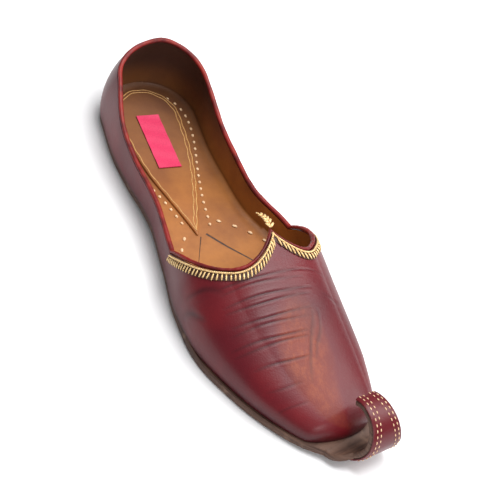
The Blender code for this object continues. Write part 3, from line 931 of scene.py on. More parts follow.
@dataclass
class Upper:
    """The hollow upper: maroon outside, tan inside, creased across the vamp."""

    last: Last
    vamp_ribs: int = 104
    quarter_ribs: int = 60
    heel_ribs: int = 26
    outer_rows: int = 220
    inner_rows: int = 26
    girth: float = 62 * MM
    crease_waver: float = 0.3 * MM
    trough_share: float = 0.8
    shoulder_share: float = 0.30
    shoulder_place: float = 1.9
    crease_shade_depth: float = 0.4 * MM
    patch_from_toe: float = 38 * MM
    patch_half_length: float = 34 * MM
    patch_half_width: float = 13 * MM
    patch_offset: float = 12 * MM
    patch_lean: float = 8 * MM
    creases: tuple[Crease, ...] = (
        Crease((93 * MM, -0.56), (84 * MM, 0.14), 0.42 * MM),
        Crease((89.5 * MM, -0.52), (81 * MM, 0.10), 0.30 * MM),
        Crease((83 * MM, -0.54), (74.5 * MM, 0.14), 0.45 * MM),
        Crease((79.5 * MM, -0.54), (71 * MM, 0.10), 0.40 * MM),
        Crease((72 * MM, -0.56), (64 * MM, 0.06), 0.38 * MM),
        Crease((69 * MM, -0.60), (61 * MM, 0.02), 0.30 * MM),
        Crease((63 * MM, -0.67), (54 * MM, -0.02), 0.45 * MM),
        Crease((60 * MM, -0.69), (51 * MM, -0.04), 0.34 * MM),
        Crease((49 * MM, -0.62), (42 * MM, -0.12), 0.38 * MM),
        Crease((37 * MM, -0.68), (32 * MM, -0.33), 0.22 * MM),
        Crease((27 * MM, -0.84), (23 * MM, -0.41), 0.22 * MM),
        Crease((64 * MM, 0.04), (29 * MM, -0.27), 0.26 * MM, 0.8 * MM, 2 * MM),
        Crease((63 * MM, 0.10), (38 * MM, -0.11), 0.22 * MM, 0.8 * MM, 1 * MM),
        Crease((102 * MM, -0.80), (90 * MM, -0.48), 0.28 * MM, 1.4 * MM, 2 * MM),
        Crease((98 * MM, -0.92), (84 * MM, -0.70), 0.30 * MM, 1.6 * MM, 2 * MM),
        Crease((88 * MM, -0.10), (80 * MM, 0.40), 0.16 * MM),
        Crease((70 * MM, 0.22), (62 * MM, 0.52), 0.14 * MM, 1.2 * MM),
    )

    def ribs(self) -> tuple[np.ndarray, np.ndarray]:
        """Side and part of each rib, round the shoe: toe, outer side, heel, inner side."""
        last = self.last
        heel_part = 1.0 - 0.5 * last.heel_reach / ((1.0 - last.ear_station) * last.sole_length)
        parts = np.concatenate(
            [
                np.linspace(0.0, 0.5, self.vamp_ribs, endpoint=False),
                np.linspace(0.5, heel_part, self.quarter_ribs, endpoint=False),
                np.linspace(heel_part, 1.0, self.heel_ribs, endpoint=False),
            ]
        )
        side = np.concatenate([-np.ones(len(parts) + 1), np.ones(len(parts) - 1)])
        return side, np.concatenate([parts, [1.0], parts[:0:-1]])

    def stations(self, rows: int) -> tuple[np.ndarray, np.ndarray]:
        """(s, a) of each point of the wall, rows steps from the sole to the open edge."""
        side, part = self.ribs()
        v = np.linspace(0.0, 1.0, rows + 1)[None, :]
        return self.last.wall_stations(side[:, None], part[:, None], v)

    def normals(self, grid: np.ndarray) -> np.ndarray:
        """Outward unit normals of a grid that closes on itself."""
        around = np.roll(grid, -1, axis=0) - np.roll(grid, 1, axis=0)
        return unit(np.cross(np.gradient(grid, axis=1), around))

    def crease_depth(self, s: np.ndarray, a: np.ndarray) -> tuple[np.ndarray, np.ndarray]:
        """How far the creases move each point out or in, and how much painted shade it gets in a crease's
        trough (0 to 1).
        """
        flat = np.stack([a * self.girth, s * self.last.sole_length], axis=-1)
        moved, dark = np.zeros(s.shape), np.zeros(s.shape)
        for crease in self.creases:
            first, last = (np.array((a * self.girth, y)) for y, a in (crease.start, crease.end))
            along = last - first
            length = float(np.linalg.norm(along))
            along /= length
            across = np.array([-along[1], along[0]])
            offset = flat - first
            t = offset @ along / length
            wave = crease.bow * np.sin(math.pi * np.clip(t, 0, 1))
            wave = wave + self.crease_waver * np.sin(6 * t + crease.start[0] * 900)
            d = np.abs(offset @ across - wave) / crease.half_width
            fade = np.clip(1.0 - np.abs(2 * t - 1.0), 0.0, 1.0) ** 0.45
            trough = np.exp(-(d**2)) * fade
            shoulder = np.exp(-((d - self.shoulder_place) ** 2)) * fade
            moved += crease.depth * (self.shoulder_share * shoulder - self.trough_share * trough)
            # Painted shade in the crease's trough, fuller in deeper creases
            dark = np.maximum(dark, trough * min(1.0, crease.depth / self.crease_shade_depth))
        return moved, dark

    def faces(self) -> tuple[np.ndarray, np.ndarray, dict[str, np.ndarray]]:
        """Outer and inner grids, and the outer one's masks."""
        s, a = self.stations(self.outer_rows)
        plain = self.last.face(s, a)
        moved, dark = self.crease_depth(s, a)
        v = np.linspace(0.0, 1.0, self.outer_rows + 1)[None, :]
        moved = moved * eased((1.0 - v) / 0.08) * eased(v / 0.05)
        outer = plain + self.normals(plain) * moved[..., None]
        coarse_s, coarse_a = self.stations(self.inner_rows)
        base = self.last.face(coarse_s, coarse_a)
        inner = base - self.normals(base) * self.last.wall
        foot = base[:, :1, 2] + np.linspace(0.0, self.last.wall / 4, self.inner_rows + 1)
        inner[..., 2] = np.maximum(inner[..., 2], foot)
        inner[:, 0, 2] = base[:, 0, 2]
        patch_y = (s * self.last.sole_length - self.patch_from_toe) / self.patch_half_length
        patch_x = a * self.girth + self.patch_offset - patch_y * self.patch_lean
        patch_x = patch_x / self.patch_half_width
        masks = {
            # Painted shade in the creases' troughs
            "crease": dark,
            "rubbed": np.clip(1.25 - patch_x**2 - patch_y**2, 0.0, 1.0),
            # Painted shade along the wall's foot, where the upper meets the sole
            "foot": np.clip(1.0 - v / 0.16, 0.0, 1.0) ** 1.5 + np.zeros(s.shape),
        }
        return outer, inner, masks

    def build(self) -> bpy.types.Object:
        """Joins the two faces at the foot and the open edge, and dresses them."""
        outer, inner, masks = self.faces()
        piece = Piece("upper_leather", Slot.UPPER, "upper")
        ribs, columns = outer.shape[:2]
        inner_columns = inner.shape[1]
        points = np.concatenate([outer.reshape(-1, 3), inner.reshape(-1, 3)])
        start = ribs * columns
        i = np.arange(ribs)
        n = (i + 1) % ribs
        rims = []
        for out_j, in_j, order in ((0, 0, 1), (columns - 1, inner_columns - 1, -1)):
            o, p = i * columns + out_j, n * columns + out_j
            q, r = start + n * inner_columns + in_j, start + i * inner_columns + in_j
            rims.append(np.stack([o, p, q, r], axis=-1)[:, ::order])
        skin = np.concatenate([grid_faces(ribs, columns, True, turned=True), *rims])
        piece.add(points, skin)
        lining = grid_faces(ribs, inner_columns, True, start)
        piece.faces += [tuple(int(k) for k in quad) for quad in lining]
        piece.finish_of_face += [1] * len(lining)
        for name, values in masks.items():
            piece.masks[name] = np.concatenate([values.reshape(-1), np.zeros(ribs * inner_columns)])
        return piece.build([UpperLeather().make(), LiningLeather(name="quarter_lining", wall=True).make()])

    def edge_frame(self, count: int, side: Side, last_part: float) -> "EdgeFrame":
        """Frames along the open edge from the peak to a part of it, with the wall's run below each."""
        part = np.linspace(0.0, last_part, count)[:, None]
        around = np.full((count, 1), side.value)
        v = np.linspace(1.0, 0.55, 60)[None, :]

        def face(shift: float) -> np.ndarray:
            """The wall's run at each part, shifted a little along the edge."""
            shifted = np.clip(part + shift, 0, 1)
            return self.last.face(*self.last.wall_stations(around, shifted, v))

        run, step = face(0.0), 1e-3
        along = unit(face(step) - face(-step))
        out = np.cross(unit(np.gradient(run, axis=1)), along)
        out = unit(out * np.sign(out[..., 2:3] + out[..., :1] * side.value * 0.5))
        return EdgeFrame(run, along, out)


@dataclass(frozen=True)
class EdgeFrame:
    """Points down the wall below an edge, with the edge's direction and the way out at each."""

    run: np.ndarray
    along: np.ndarray
    out: np.ndarray

    def at_depth(self, depth: float) -> tuple[np.ndarray, np.ndarray, np.ndarray]:
        """Point, along and out at a distance below the edge, measured on the wall."""
        step = np.linalg.norm(np.diff(self.run, axis=1), axis=-1)
        run = np.concatenate([np.zeros((len(step), 1)), np.cumsum(step, axis=1)], axis=1)
        found = []
        for values in (self.run, self.along, self.out):
            rows = [[np.interp(depth, run[i], values[i, :, k]) for k in range(3)] for i in range(len(run))]
            found.append(np.array(rows))
        return found[0], unit(found[1]), unit(found[2])


@dataclass
class Tongue:
    """The sole's toe tongue, which curls up and back over the vamp's nose."""

    last: Last
    tip_width: float = 14 * MM
    thickness: float = 3.4 * MM
    radius: float = 18.5 * MM
    turn_deg: float = 205.0
    aim_deg: float = 5.0
    corner_end_deg: float = 45.0

    def frames(self, part: np.ndarray) -> tuple[np.ndarray, np.ndarray, np.ndarray]:
        """Place of the outer face, its outward direction and the sideways one, at parts of the curl."""
        last = self.last
        bend = math.atan(float(last.centre_slope(0.0))) + math.radians(self.aim_deg)
        forward = np.array((-math.sin(bend), -math.cos(bend), 0.0))
        start_x = last.origin_x + float(last.centre_x(0.0))
        start_y = last.origin_y - last.sole_length / 2
        start = np.array((start_x, start_y, float(last.floor_lift(0.0))))
        degrees = self.turn_deg * part
        angle = np.radians(degrees)[:, None]
        out = forward * np.sin(angle) + np.array((0.0, 0.0, -1.0)) * np.cos(angle)
        radius = self.radius * (1.0 - 0.18 * np.maximum(0.0, degrees - 90.0) / 90.0)
        hub = start + np.array((0.0, 0.0, self.radius))
        sideways = np.broadcast_to((math.cos(bend), -math.sin(bend), 0.0), out.shape)
        return hub + out * radius[:, None], out, sideways

    def reach(self, part: np.ndarray, side: Side) -> np.ndarray:
        """Half width on a side, growing out of the sole's rounded front corner."""
        last = self.last
        half = (last.tongue_width + (self.tip_width - last.tongue_width) * eased(part) ** 0.9) / 2
        corner = np.maximum(0.0, 1.0 - part * self.turn_deg / self.corner_end_deg)
        spare = float(last.half_width(0.0, side.value)) - last.tongue_width / 2
        return half + spare * np.sqrt(1.0 - (1.0 - corner) ** 2)


@dataclass
class Outsole:
    """Sole leather with rounded cut edges and the toe's tongue in one piece."""

    last: Last
    tongue: Tongue
    cells: int = 14
    round_off: float = 0.7 * MM

    def rows(self) -> tuple[np.ndarray, np.ndarray]:
        """The top and bottom points across each row, tongue tip first."""
        last, tongue = self.last, self.tongue
        across = np.linspace(-1.0, 1.0, self.cells + 1)
        part = np.linspace(1.0, 0.0, 60, endpoint=False)
        place, out, sideways = tongue.frames(part)
        outer, inner = (tongue.reach(part, side)[:, None] for side in Side)
        reach = np.where(across[None] < 0, outer, inner)
        thinner = (tongue.thickness - last.outsole_thickness) * np.minimum(1.0, part * 5)
        thick = last.outsole_thickness + thinner
        low = place[:, None] + sideways[:, None] * (across[None] * reach)[..., None]
        high = low - out[:, None] * thick[:, None, None]
        flat = np.concatenate(
            [0.12 * (np.arange(24) / 24) ** 1.4, np.linspace(0.12, last.heel_station, 80, endpoint=False)]
        )
        s = np.concatenate([flat, np.linspace(last.heel_station, 1.0, 30)])[:, None]
        section = last.section(s, np.where(across < 0, -1.0, 1.0)[None])
        reach = section.reach - last.sole_tuck * last.behind_ball(section.share)
        distance = np.abs(across)[None] * reach
        flat_low = section.place(distance, section.lift)
        flat_high = section.place(distance, section.lift + last.outsole_thickness)
        return np.concatenate([high, flat_high]), np.concatenate([low, flat_low])

    def build(self) -> bpy.types.Object:
        """Rings round each row, with the edge's corners rounded off."""
        high, low = self.rows()
        rings = []
        for top, bottom in zip(high, low):
            lift = unit(top[0] - bottom[0]) * self.round_off
            left = unit(bottom[1] - bottom[0]) * self.round_off
            right = unit(bottom[-2] - bottom[-1]) * self.round_off
            outer_edge = [bottom[0] + left, bottom[0] + lift, top[0] - lift, top[0] + left]
            inner_edge = [top[-1] + right, top[-1] - lift, bottom[-1] + lift, bottom[-1] + right]
            rings.append(np.array([*outer_edge, *top[1:-1], *inner_edge, *bottom[-2:0:-1]]))
        grid = np.array(rings)
        count, sides = grid.shape[:2]
        piece = Piece("sole_leather_layer", Slot.SOLE, "outsole")
        piece.add(grid, [*ring_faces(count, sides), tuple(range(sides))])
        return piece.build([SoleLeather().make()], 45)


@dataclass
class CurlCover:
    """The maroon strip on the outside of the curl, with two rows of running stitches by each edge."""

    last: Last
    tongue: Tongue
    start_deg: float = 28.0
    thickness: float = 1.3 * MM
    rows_from_edge: tuple[float, float] = (2.2 * MM, 4.8 * MM)
    stitch: Size3 = (1.7 * MM, 0.7 * MM, 0.5 * MM)
    pitch: float = 3.3 * MM

    def build(self) -> bpy.types.Object:
        """The strip, crowned a little between its edges."""
        tongue = self.tongue
        part = np.linspace(self.start_deg / tongue.turn_deg, 1.0, 60)
        place, out, sideways = tongue.frames(part)
        across = np.linspace(-1.0, 1.0, 13)
        reach = tongue.reach(part, Side.INNER)
        row = place[:, None] + sideways[:, None] * (across[None] * reach[:, None])[..., None]
        rounded = np.sqrt(np.clip(1.0 - across**8, 0.0, 1.0)) * 0.45 + 0.55
        over = row + out[:, None] * (self.last.gap + self.thickness * rounded)[None, :, None]
        under = row + out[:, None] * self.last.gap
        piece = Piece("curl_cover_leather", Slot.UPPER, "toe_curl_cover")
        piece.add_shell(over, under)
        return piece.build([UpperLeather(name="curl_leather", gloss=0.38).make()], 50)

    def stitch_up(self) -> bpy.types.Object:
        """Two rows of cream stitches along each edge."""
        tongue = self.tongue
        part = np.linspace((self.start_deg + 4) / tongue.turn_deg, 0.985, 90)
        place, out, sideways = tongue.frames(part)
        reach = tongue.reach(part, Side.INNER)
        piece = Piece("curl_stitches", Slot.GOLD)
        for side in Side:
            for inset in self.rows_from_edge:
                shift = side.value * (reach - inset)
                path = place + sideways * shift[:, None] + out * (self.last.gap + self.thickness)
                points, along = evenly(path, self.pitch)
                for point, way in zip(points, along):
                    nearest = int(np.argmin(np.linalg.norm(path - point, axis=1)))
                    add_stitch(piece, point, way, out[nearest], self.stitch)
        return piece.build([CREAM_THREAD.make()])


@dataclass
class Insole:
    """The tan sock, turned up a little where it meets the wall."""

    last: Last
    bottom: float = 5.1 * MM
    top: float = 6.9 * MM
    start: float = 0.052
    cells: int = 40
    turn_up: float = 1.6 * MM

    def plan(self, s: np.ndarray, across: np.ndarray) -> tuple[Section, np.ndarray]:
        """Sections and distances of points across the sock, to the inside of the wall."""
        last = self.last
        section = last.section(s, np.where(across < 0, -1.0, 1.0))
        foot = (section.reach - last.shown_edge(section.share)) * last.nose(section.share)
        return section, np.abs(across) * (foot - last.wall * 0.9)

    def build(self) -> bpy.types.Object:
        """The sock's top and under faces."""
        last = self.last
        across = np.linspace(-1.0, 1.0, self.cells + 1)[None]
        flat = np.linspace(self.start, last.heel_station, 110, endpoint=False)
        s = np.concatenate([flat, np.linspace(last.heel_station, 1.0, 30)])[:, None]
        section, distance = self.plan(s, across)
        edge = np.clip((np.abs(across) - 0.86) / 0.14, 0.0, 1.0) ** 2 * self.turn_up
        high = section.place(distance, section.lift + self.top + edge)
        low = section.place(distance, section.lift + self.bottom)
        piece = Piece("sock_leather", Slot.LINING, "insole")
        piece.add_shell(high, low, ends=(True, False))
        return piece.build([LiningLeather(name="sock_finish").make()])


@dataclass
class SeatStitching:
    """Cream dots round the seat and thin seams of the sock, as plan lines from the heel's back."""

    last: Last
    pitch: float = 6.1 * MM
    front_pitch: float = 9.0 * MM
    dot: Size3 = (2.3 * MM, 1.7 * MM, 1.2 * MM)
    long_dot: Size3 = (3.2 * MM, 1.8 * MM, 1.2 * MM)
    dot_height: float = 7.0 * MM
    seam_height: float = 6.95 * MM
    # Each row: distance to the inner side of the heel's axis, distance from the back of the heel (mm)
    seat_inner: PlanLine = (
        (-4, 11), (6, 13), (15, 20), (19.5, 31), (20, 44),
        (18.5, 56), (15, 72), (11, 90), (7.5, 108), (5.5, 128),
    )
    seat_outer: PlanLine = (
        (-6, 11), (-16, 13), (-25, 20), (-29.5, 33), (-30, 52), (-28, 72), (-24, 90), (-18, 107), (-12, 126),
    )
    front_inner: PlanLine = ((12, 126), (20, 130), (29, 136), (37, 143))
    front_outer: PlanLine = ((-14, 138), (-18, 146), (-21, 155))
    gap_line: PlanLine = ((1, 135), (11, 145), (24, 157), (32, 166))
    thin_line: PlanLine = ((-3, 137), (-8, 150), (-14, 166))

    def on_sock(self, rows: Sequence[Sequence[float]], height: float) -> np.ndarray:
        """The plan line at a height above the floor, in the shoe's place."""
        line = curved(np.asarray(rows) * MM)
        heel_back = self.last.origin_y + self.last.sole_length / 2
        share = 1.0 - line[:, 1] / self.last.sole_length
        z = self.last.floor_lift(share) + height
        return np.stack([self.last.origin_x + line[:, 0], heel_back - line[:, 1], z], axis=1)

    def build(self) -> bpy.types.Object:
        """The dots."""
        piece = Piece("seat_stitches", Slot.LINING)
        up = np.array((0.0, 0.0, 1.0))
        rows = (
            (self.seat_inner, self.pitch, self.dot),
            (self.seat_outer, self.pitch, self.dot),
            (self.front_inner, self.front_pitch, self.long_dot),
            (self.front_outer, self.front_pitch, self.long_dot),
        )
        for line, pitch, size in rows:
            points, along = evenly(self.on_sock(line, self.dot_height), pitch)
            for point, way in zip(points, along):
                add_stitch(piece, point, way, up, size)
        return piece.build([CREAM_THREAD.make()])

    def seams(self) -> bpy.types.Object:
        """The dark cut between two leathers of the sock, and the thin seam beside it."""
        piece = Piece("sock_seams", Slot.LINING)
        for line, width in ((self.gap_line, 0.75 * MM), (self.thin_line, 0.35 * MM)):
            path = self.on_sock(line, self.seam_height)
            along = unit(np.gradient(path, axis=0))
            up = np.broadcast_to((0.0, 0.0, 1.0), path.shape)
            side = unit(np.cross(up, along))
            taper = np.linspace(1.0, 0.35, len(path))
            add_tube(piece, path, side, up, width * taper, 0.12 * MM, 6)
        shadow = BraidGround(name="seam_shadow", brown=srgb(70, 38, 16), dark=srgb(48, 26, 12))
        return piece.build([shadow.make()])


@dataclass
class HeelPad:
    """The tongue-shaped pad on the sock, with its stitched lines."""

    last: Last
    width: float = 43 * MM
    length: float = 136 * MM
    margin: float = 6 * MM
    offset: float = -5 * MM
    bottom: float = 7.2 * MM
    top: float = 8.4 * MM
    seam_inset: float = 1.4 * MM
    seam_apart: float = 2.0 * MM

    @property
    def tip(self) -> float:
        """Station of the pad's point."""
        return 1.0 - self.length / self.last.sole_length

    def half_width(self, share: np.ndarray) -> np.ndarray:
        """Half width along the pad, drawn in to a point toward the toe."""
        part = (share - self.tip) / (self.last.heel_station - self.tip)
        return self.width / 2 * ShortTable((0.0, 0.3, 0.54, 0.8, 1.0), (0.02, 0.47, 0.77, 0.95, 1.0))(part)

    def outline(self, inset: float) -> np.ndarray:
        """Plan points round the pad, inset from its edge: outer side from tip to heel, then back."""
        last = self.last
        back = last.heel_reach - last.wall - last.gap - self.margin
        half = []
        for share in np.linspace(self.tip, last.heel_station, 40, endpoint=False):
            y = last.origin_y + (share - 0.5) * last.sole_length
            x = max(float(self.half_width(np.array(share))) - inset, 0.0)
            half.append((x, y, float(last.floor_lift(share))))
        axis_y = last.origin_y + (last.heel_station - 0.5) * last.sole_length
        for turn in np.linspace(0.0, math.pi / 2, 24):
            across, behind = self.width / 2 - inset, back - inset
            reach = 1.0 / math.hypot(math.cos(turn) / across, math.sin(turn) / behind)
            half.append((math.cos(turn) * reach, axis_y + math.sin(turn) * reach, 0.0))
        half = np.array(half)
        half[0, 1] += inset * 3
        outer = half * (-1, 1, 1)
        loop = np.concatenate([outer, half[-2::-1]])
        loop[:, 0] += last.origin_x + self.offset
        return loop

    def build(self) -> bpy.types.Object:
        """The pad as nested rings that round its edge."""
        piece = Piece("seat_pad_leather", Slot.LINING, "heel_pad")
        levels = (
            (0.0, self.bottom),
            (0.0, self.top - 0.5 * MM),
            (0.25 * MM, self.top - 0.15 * MM),
            (0.8 * MM, self.top),
            (4.0 * MM, self.top + 0.05 * MM),
            (9.0 * MM, self.top + 0.05 * MM),
        )
        rings = []
        for inset, height in levels:
            ring = self.outline(inset)
            ring[:, 2] += height
            rings.append(ring)
        grid = np.array(rings)
        count, sides = grid.shape[:2]
        faces = ring_faces(count, sides)
        last_ring = (count - 1) * sides
        for k in range(sides // 2):
            a, b = last_ring + k, last_ring + k + 1
            c, d = last_ring + sides - 2 - k, last_ring + sides - 1 - k
            faces.append((a, b, c, d) if b != c else (a, b, d))
        piece.add(grid, faces)
        finish = LiningLeather(name="pad_finish", tan=srgb(176, 110, 48), worn=srgb(146, 86, 38))
        return piece.build([finish.make()])

    def seam_lines(self) -> bpy.types.Object:
        """The pad's stitched seams: two lines inside and round the heel, one outside."""
        piece = Piece("pad_seams", Slot.LINING)
        up_height = self.top + 0.1 * MM
        for inset, whole in ((self.seam_inset, True), (self.seam_inset + self.seam_apart, False)):
            ring = self.outline(inset)
            ring[:, 2] += up_height
            if not whole:
                ring = ring[len(ring) // 2 - 14 :]
            path, along = evenly(ring[1:-1], 1.0 * MM)
            up = np.broadcast_to((0.0, 0.0, 1.0), path.shape)
            side = unit(np.cross(up, along))
            beat = 0.5 + 0.5 * np.cos(np.arange(len(path)) * math.pi)
            wobble = 0.25 * MM * np.sin(np.arange(len(path)) * 0.55 + inset * 4000)
            path = path + side * wobble[:, None]
            add_tube(piece, path, side, up, 0.30 * MM, 0.10 * MM + 0.16 * MM * beat, 6)
        return piece.build([SEAM_THREAD.make()])


@dataclass
class LabelPatch:
    """The bare pink patch, its ends lifting a little."""

    last: Last
    width: float = 15 * MM
    length: float = 46 * MM
    from_heel: float = 34 * MM
    offset: float = -6 * MM
    bottom: float = 8.75 * MM
    thickness: float = 0.45 * MM
    turn_deg: float = 2.0

    def build(self) -> bpy.types.Object:
        """The patch."""
        last = self.last
        u, w = np.meshgrid(np.linspace(-0.5, 0.5, 15), np.linspace(-0.5, 0.5, 41))
        centre_y = last.origin_y + last.sole_length / 2 - self.from_heel - self.length / 2
        turn = math.radians(self.turn_deg)
        x, y = u * self.width, w * self.length
        ripple = 0.12 * MM * np.sin(w * 24 + u * 3) + 0.3 * MM * np.abs(2 * w) ** 10
        place_x = last.origin_x + self.offset + x * math.cos(turn) - y * math.sin(turn)
        place_y = centre_y + x * math.sin(turn) + y * math.cos(turn)
        high = np.stack([place_x, place_y, self.bottom + self.thickness + ripple], axis=-1)
        low = np.stack([place_x, place_y, self.bottom + ripple * 0.6], axis=-1)
        piece = Piece("patch_cloth", Slot.LABEL, "label_patch")
        piece.add_shell(high, low, turned=True)
        return piece.build([PinkCloth().make()])


@dataclass
class Binding:
    """The folded red leather on the rim, with a rubbed crown."""

    last: Last
    upper: Upper
    height: float = 2.4 * MM
    width: float = 3.0 * MM
    sides: int = 12

    def build(self) -> bpy.types.Object:
        """An oval roll all round the open edge, slightly uneven as hand work is."""
        side, part = self.upper.ribs()
        v = np.array([1.0, 0.985])[None]
        s, a = self.last.wall_stations(side[:, None], part[:, None], v)
        pair = self.last.face(s, a)
        full_s, full_a = self.upper.stations(self.upper.outer_rows)
        out = self.upper.normals(self.last.face(full_s, full_a))[:, -1]
        rise = unit(pair[:, 0] - pair[:, 1])
        centres = pair[:, 0] - out * self.last.wall / 2 + rise * (self.last.gap + self.height / 2)
        k = np.arange(len(centres))
        uneven = 1.0 + 0.05 * np.sin(k * 0.37) + 0.04 * np.sin(k * 0.91 + 1.0)
        piece = Piece("edge_binding", Slot.BINDING, "topline_binding")
        wide, high = self.width / 2 * uneven, self.height / 2 * uneven
        add_tube(piece, centres, out, rise, wide, high, self.sides, wraps=True)
        angle = np.arange(self.sides) * 2 * math.pi / self.sides
        piece.masks["crown"] = np.tile(np.clip(np.sin(angle), 0.0, 1.0) ** 2, len(centres))
        return piece.build([BindingLeather().make()], 80)


@dataclass
class VampTrim:
    """Gold chain work along both scallops: a cord above a row of slanted stitches on a dark ground."""

    upper: Upper
    end_part: float = 0.49
    ground_depth: float = 5.6 * MM
    ground_lift: float = 0.45 * MM
    pitch: float = 2.4 * MM
    cord_depth: float = 1.0 * MM
    row_top: float = 1.7 * MM
    row_bottom: float = 5.8 * MM
    slant: float = 1.3 * MM
    stitch_width: float = 1.05 * MM
    inner_pitch: float = 3.1 * MM
    row_lift: float = 0.75 * MM
    cord_size: Size3 = (2.2 * MM, 1.0 * MM, 1.0 * MM)
    cord_skew: float = 0.35

    def ground(self) -> bpy.types.Object:
        """The dark strip under the stitches."""
        piece = Piece("braid_ground_strip", Slot.GOLD, "vamp_trim")
        for side in Side:
            frames = self.upper.edge_frame(90, side, self.end_part)
            rows = []
            for depth in np.linspace(0.3 * MM, self.ground_depth, 7):
                point, _, out = frames.at_depth(depth)
                rows.append((point + out * self.ground_lift, point + out * 0.05 * MM))
            high, low = (np.array(grid).transpose(1, 0, 2) for grid in zip(*rows))
            piece.add_shell(high, low, side is Side.OUTER, ends=(False, True), under=False)
        return piece.build([BraidGround().make()])

    def stitches(self) -> bpy.types.Object:
        """The cord and the slanted stitches."""
        piece = Piece("braid_stitches", Slot.GOLD)
        for side in Side:
            frames = self.upper.edge_frame(240, side, self.end_part)
            cord, _, cord_out = frames.at_depth(self.cord_depth)
            self.lay_cord(piece, cord + cord_out * 0.7 * MM, cord_out)
            top, _, out = frames.at_depth(self.row_top)
            low, low_along, low_out = frames.at_depth(self.row_bottom)
            places, _ = evenly(top, self.pitch if side is Side.OUTER else self.inner_pitch)
            for place in places[1:]:
                i = int(np.argmin(np.linalg.norm(top - place, axis=1)))
                head = top[i] + out[i] * self.row_lift
                foot = low[i] + low_out[i] * self.row_lift + low_along[i] * self.slant
                size = (float(np.linalg.norm(foot - head)), self.stitch_width, 1.0 * MM)
                add_stitch(piece, (head + foot) / 2, foot - head, out[i], size)
        return piece.build([GOLD_THREAD.make()])

    def lay_cord(self, piece: Piece, path: np.ndarray, out: np.ndarray) -> None:
        """Lays overlapping stitches along a path, each turned a little across it, as a twisted cord is."""
        points, along = evenly(path, self.pitch * 0.5)
        for point, way in zip(points, along):
            i = int(np.argmin(np.linalg.norm(path - point, axis=1)))
            add_stitch(piece, point, way + np.cross(out[i], way) * self.cord_skew, out[i], self.cord_size)


@dataclass
class PeakKnot:
    """The gold sprig at the vamp's peak: pairs of slanted stitches on a tapering stem."""

    length: float = 12 * MM
    width: float = 6.6 * MM
    pairs: int = 5
    drift: float = 5.0 * MM

    def build(self) -> bpy.types.Object:
        """The sprig, which starts behind the binding at the peak."""
        low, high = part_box("peak_knot")
        start = np.array(((low.x + high.x) / 2, low.y + 0.2 * MM, low.z + 1.6 * MM))
        piece = Piece("peak_sprig", Slot.GOLD, "peak_knot")
        part = np.linspace(0.0, 1.0, 24)
        path = start + np.stack(
            [-self.drift * part**2, self.length * 0.97 * part, 1.0 * MM * np.sin(math.pi * part)], axis=1
        )
        along = unit(np.gradient(path, axis=0))
        up = np.broadcast_to((0.0, 0.0, 1.0), path.shape)
        side = unit(np.cross(up, along))
        add_tube(piece, path, side, up, 0.55 * MM * (1.15 - part), 0.5 * MM * (1.15 - part), 8)
        for k in range(self.pairs):
            i = int(round((0.02 + 0.88 * k / self.pairs) * (len(path) - 1)))
            spread = self.width * 0.62 * (1.0 - 0.6 * k / self.pairs)
            for turn in (-1.0, 1.0):
                way = along[i] * 0.8 + side[i] * turn * 0.75
                centre = path[i] + unit(way) * spread * 0.42 + up[i] * 0.3 * MM
                add_stitch(piece, centre, way, up[i], (spread, 1.7 * MM, 1.2 * MM))
        tip = path[-1] - along[-1] * 1.2 * MM
        add_stitch(piece, tip, along[-1], up[-1], (2.6 * MM, 1.1 * MM, 0.9 * MM))
        return piece.build([GOLD_THREAD.make()])


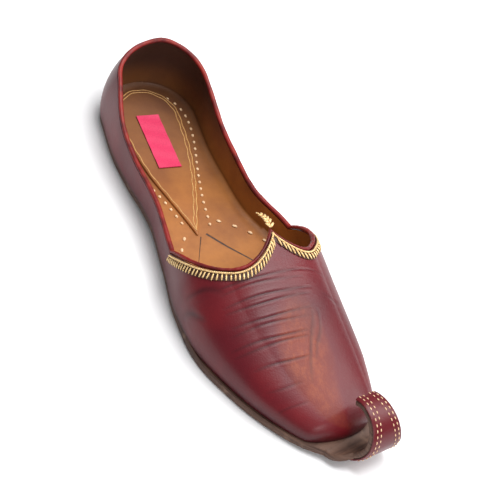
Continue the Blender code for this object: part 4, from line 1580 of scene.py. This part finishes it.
@dataclass
class Studio:
    """Pale floor, soft lights and the camera at the photograph's angle."""

    eye: Size3 = (-0.3777, -0.5585, 0.6739)
    aim: Size3 = (0.0065, -0.0061, 0.020)
    roll_deg: float = 21.9
    lens: float = 115.0
    air: float = 0.34
    # Each row: name, place, width and height, watts
    boxes: tuple[tuple[str, Size3, tuple[float, float], float], ...] = (
        ("overhead_box", (0.25, 0.10, 1.3), (0.9, 0.9), 20.0),
        ("front_box", (0.1, -1.4, 0.9), (0.6, 0.6), 7.0),
        ("inner_box", (1.1, -0.2, 0.9), (0.6, 1.0), 10.0),
    )

    def floor(self) -> bpy.types.Object:
        """A wide sheet under the sole."""
        mesh = bpy.data.meshes.new("studio_floor")
        mesh.from_pydata([(-3, -3, 0), (3, -3, 0), (3, 3, 0), (-3, 3, 0)], [], [(0, 1, 2, 3)])
        mesh.materials.append(StudioPaper().make())
        thing = bpy.data.objects.new("studio_floor", mesh)
        thing.location.z = -0.0002
        bpy.context.scene.collection.objects.link(thing)
        return thing

    def light(self, name: str, place: Size3, size: tuple[float, float], watts: float) -> None:
        """One soft box that faces the shoe."""
        lamp = bpy.data.lights.new(name, "AREA")
        lamp.shape = "RECTANGLE"
        lamp.size, lamp.size_y = size
        lamp.energy = watts
        thing = bpy.data.objects.new(name, lamp)
        thing.location = place
        thing.rotation_euler = (Vector(self.aim) - Vector(place)).to_track_quat("-Z", "Y").to_euler()
        bpy.context.scene.collection.objects.link(thing)

    def camera(self) -> None:
        """The camera, rolled as the photograph's was."""
        data = bpy.data.cameras.new("photo_camera")
        data.lens = self.lens
        data.sensor_width = 36.0
        data.clip_start, data.clip_end = 0.05, 20.0
        thing = bpy.data.objects.new("photo_camera", data)
        look = (Vector(self.aim) - Vector(self.eye)).to_track_quat("-Z", "Y").to_matrix()
        turned = look @ Matrix.Rotation(math.radians(self.roll_deg), 3, "Z")
        thing.matrix_world = Matrix.Translation(Vector(self.eye)) @ turned.to_4x4()
        bpy.context.scene.collection.objects.link(thing)
        bpy.context.scene.camera = thing

    def build(self) -> None:
        """Sets up the room."""
        self.floor()
        for row in self.boxes:
            self.light(*row)
        world = bpy.data.worlds.new("studio_air")
        world.use_nodes = True
        background = world.node_tree.nodes["Background"].inputs
        background["Color"].default_value = srgb(250, 251, 255)
        background["Strength"].default_value = self.air
        bpy.context.scene.world = world
        bpy.context.scene.view_settings.view_transform = "Standard"
        self.camera()
        LOG.info("studio ready")


def place_last() -> Last:
    """The last, set where the frame's solids stand."""
    label_low, label_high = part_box("label_patch")
    _, sole_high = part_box("outsole")
    plain = Last()
    centre = (label_low.x + label_high.x) / 2
    heel_back = sole_high.y + plain.sole_tuck
    return Last(origin_x=centre - LabelPatch(plain).offset, origin_y=heel_back - plain.sole_length / 2)


def main() -> None:
    """Builds the shoe's sub-assemblies in order, then the room."""
    last = place_last()
    tongue = Tongue(last)
    upper = Upper(last)
    Outsole(last, tongue).build()
    cover = CurlCover(last, tongue)
    cover.build()
    cover.stitch_up()
    upper.build()
    Insole(last).build()
    seat = SeatStitching(last)
    seat.build()
    seat.seams()
    pad = HeelPad(last)
    pad.build()
    pad.seam_lines()
    LabelPatch(last).build()
    Binding(last, upper).build()
    trim = VampTrim(upper)
    trim.ground()
    trim.stitches()
    PeakKnot().build()
    Studio().build()


if __name__ == "__main__":
    logging.basicConfig(level=logging.INFO, format="%(message)s")
    main()
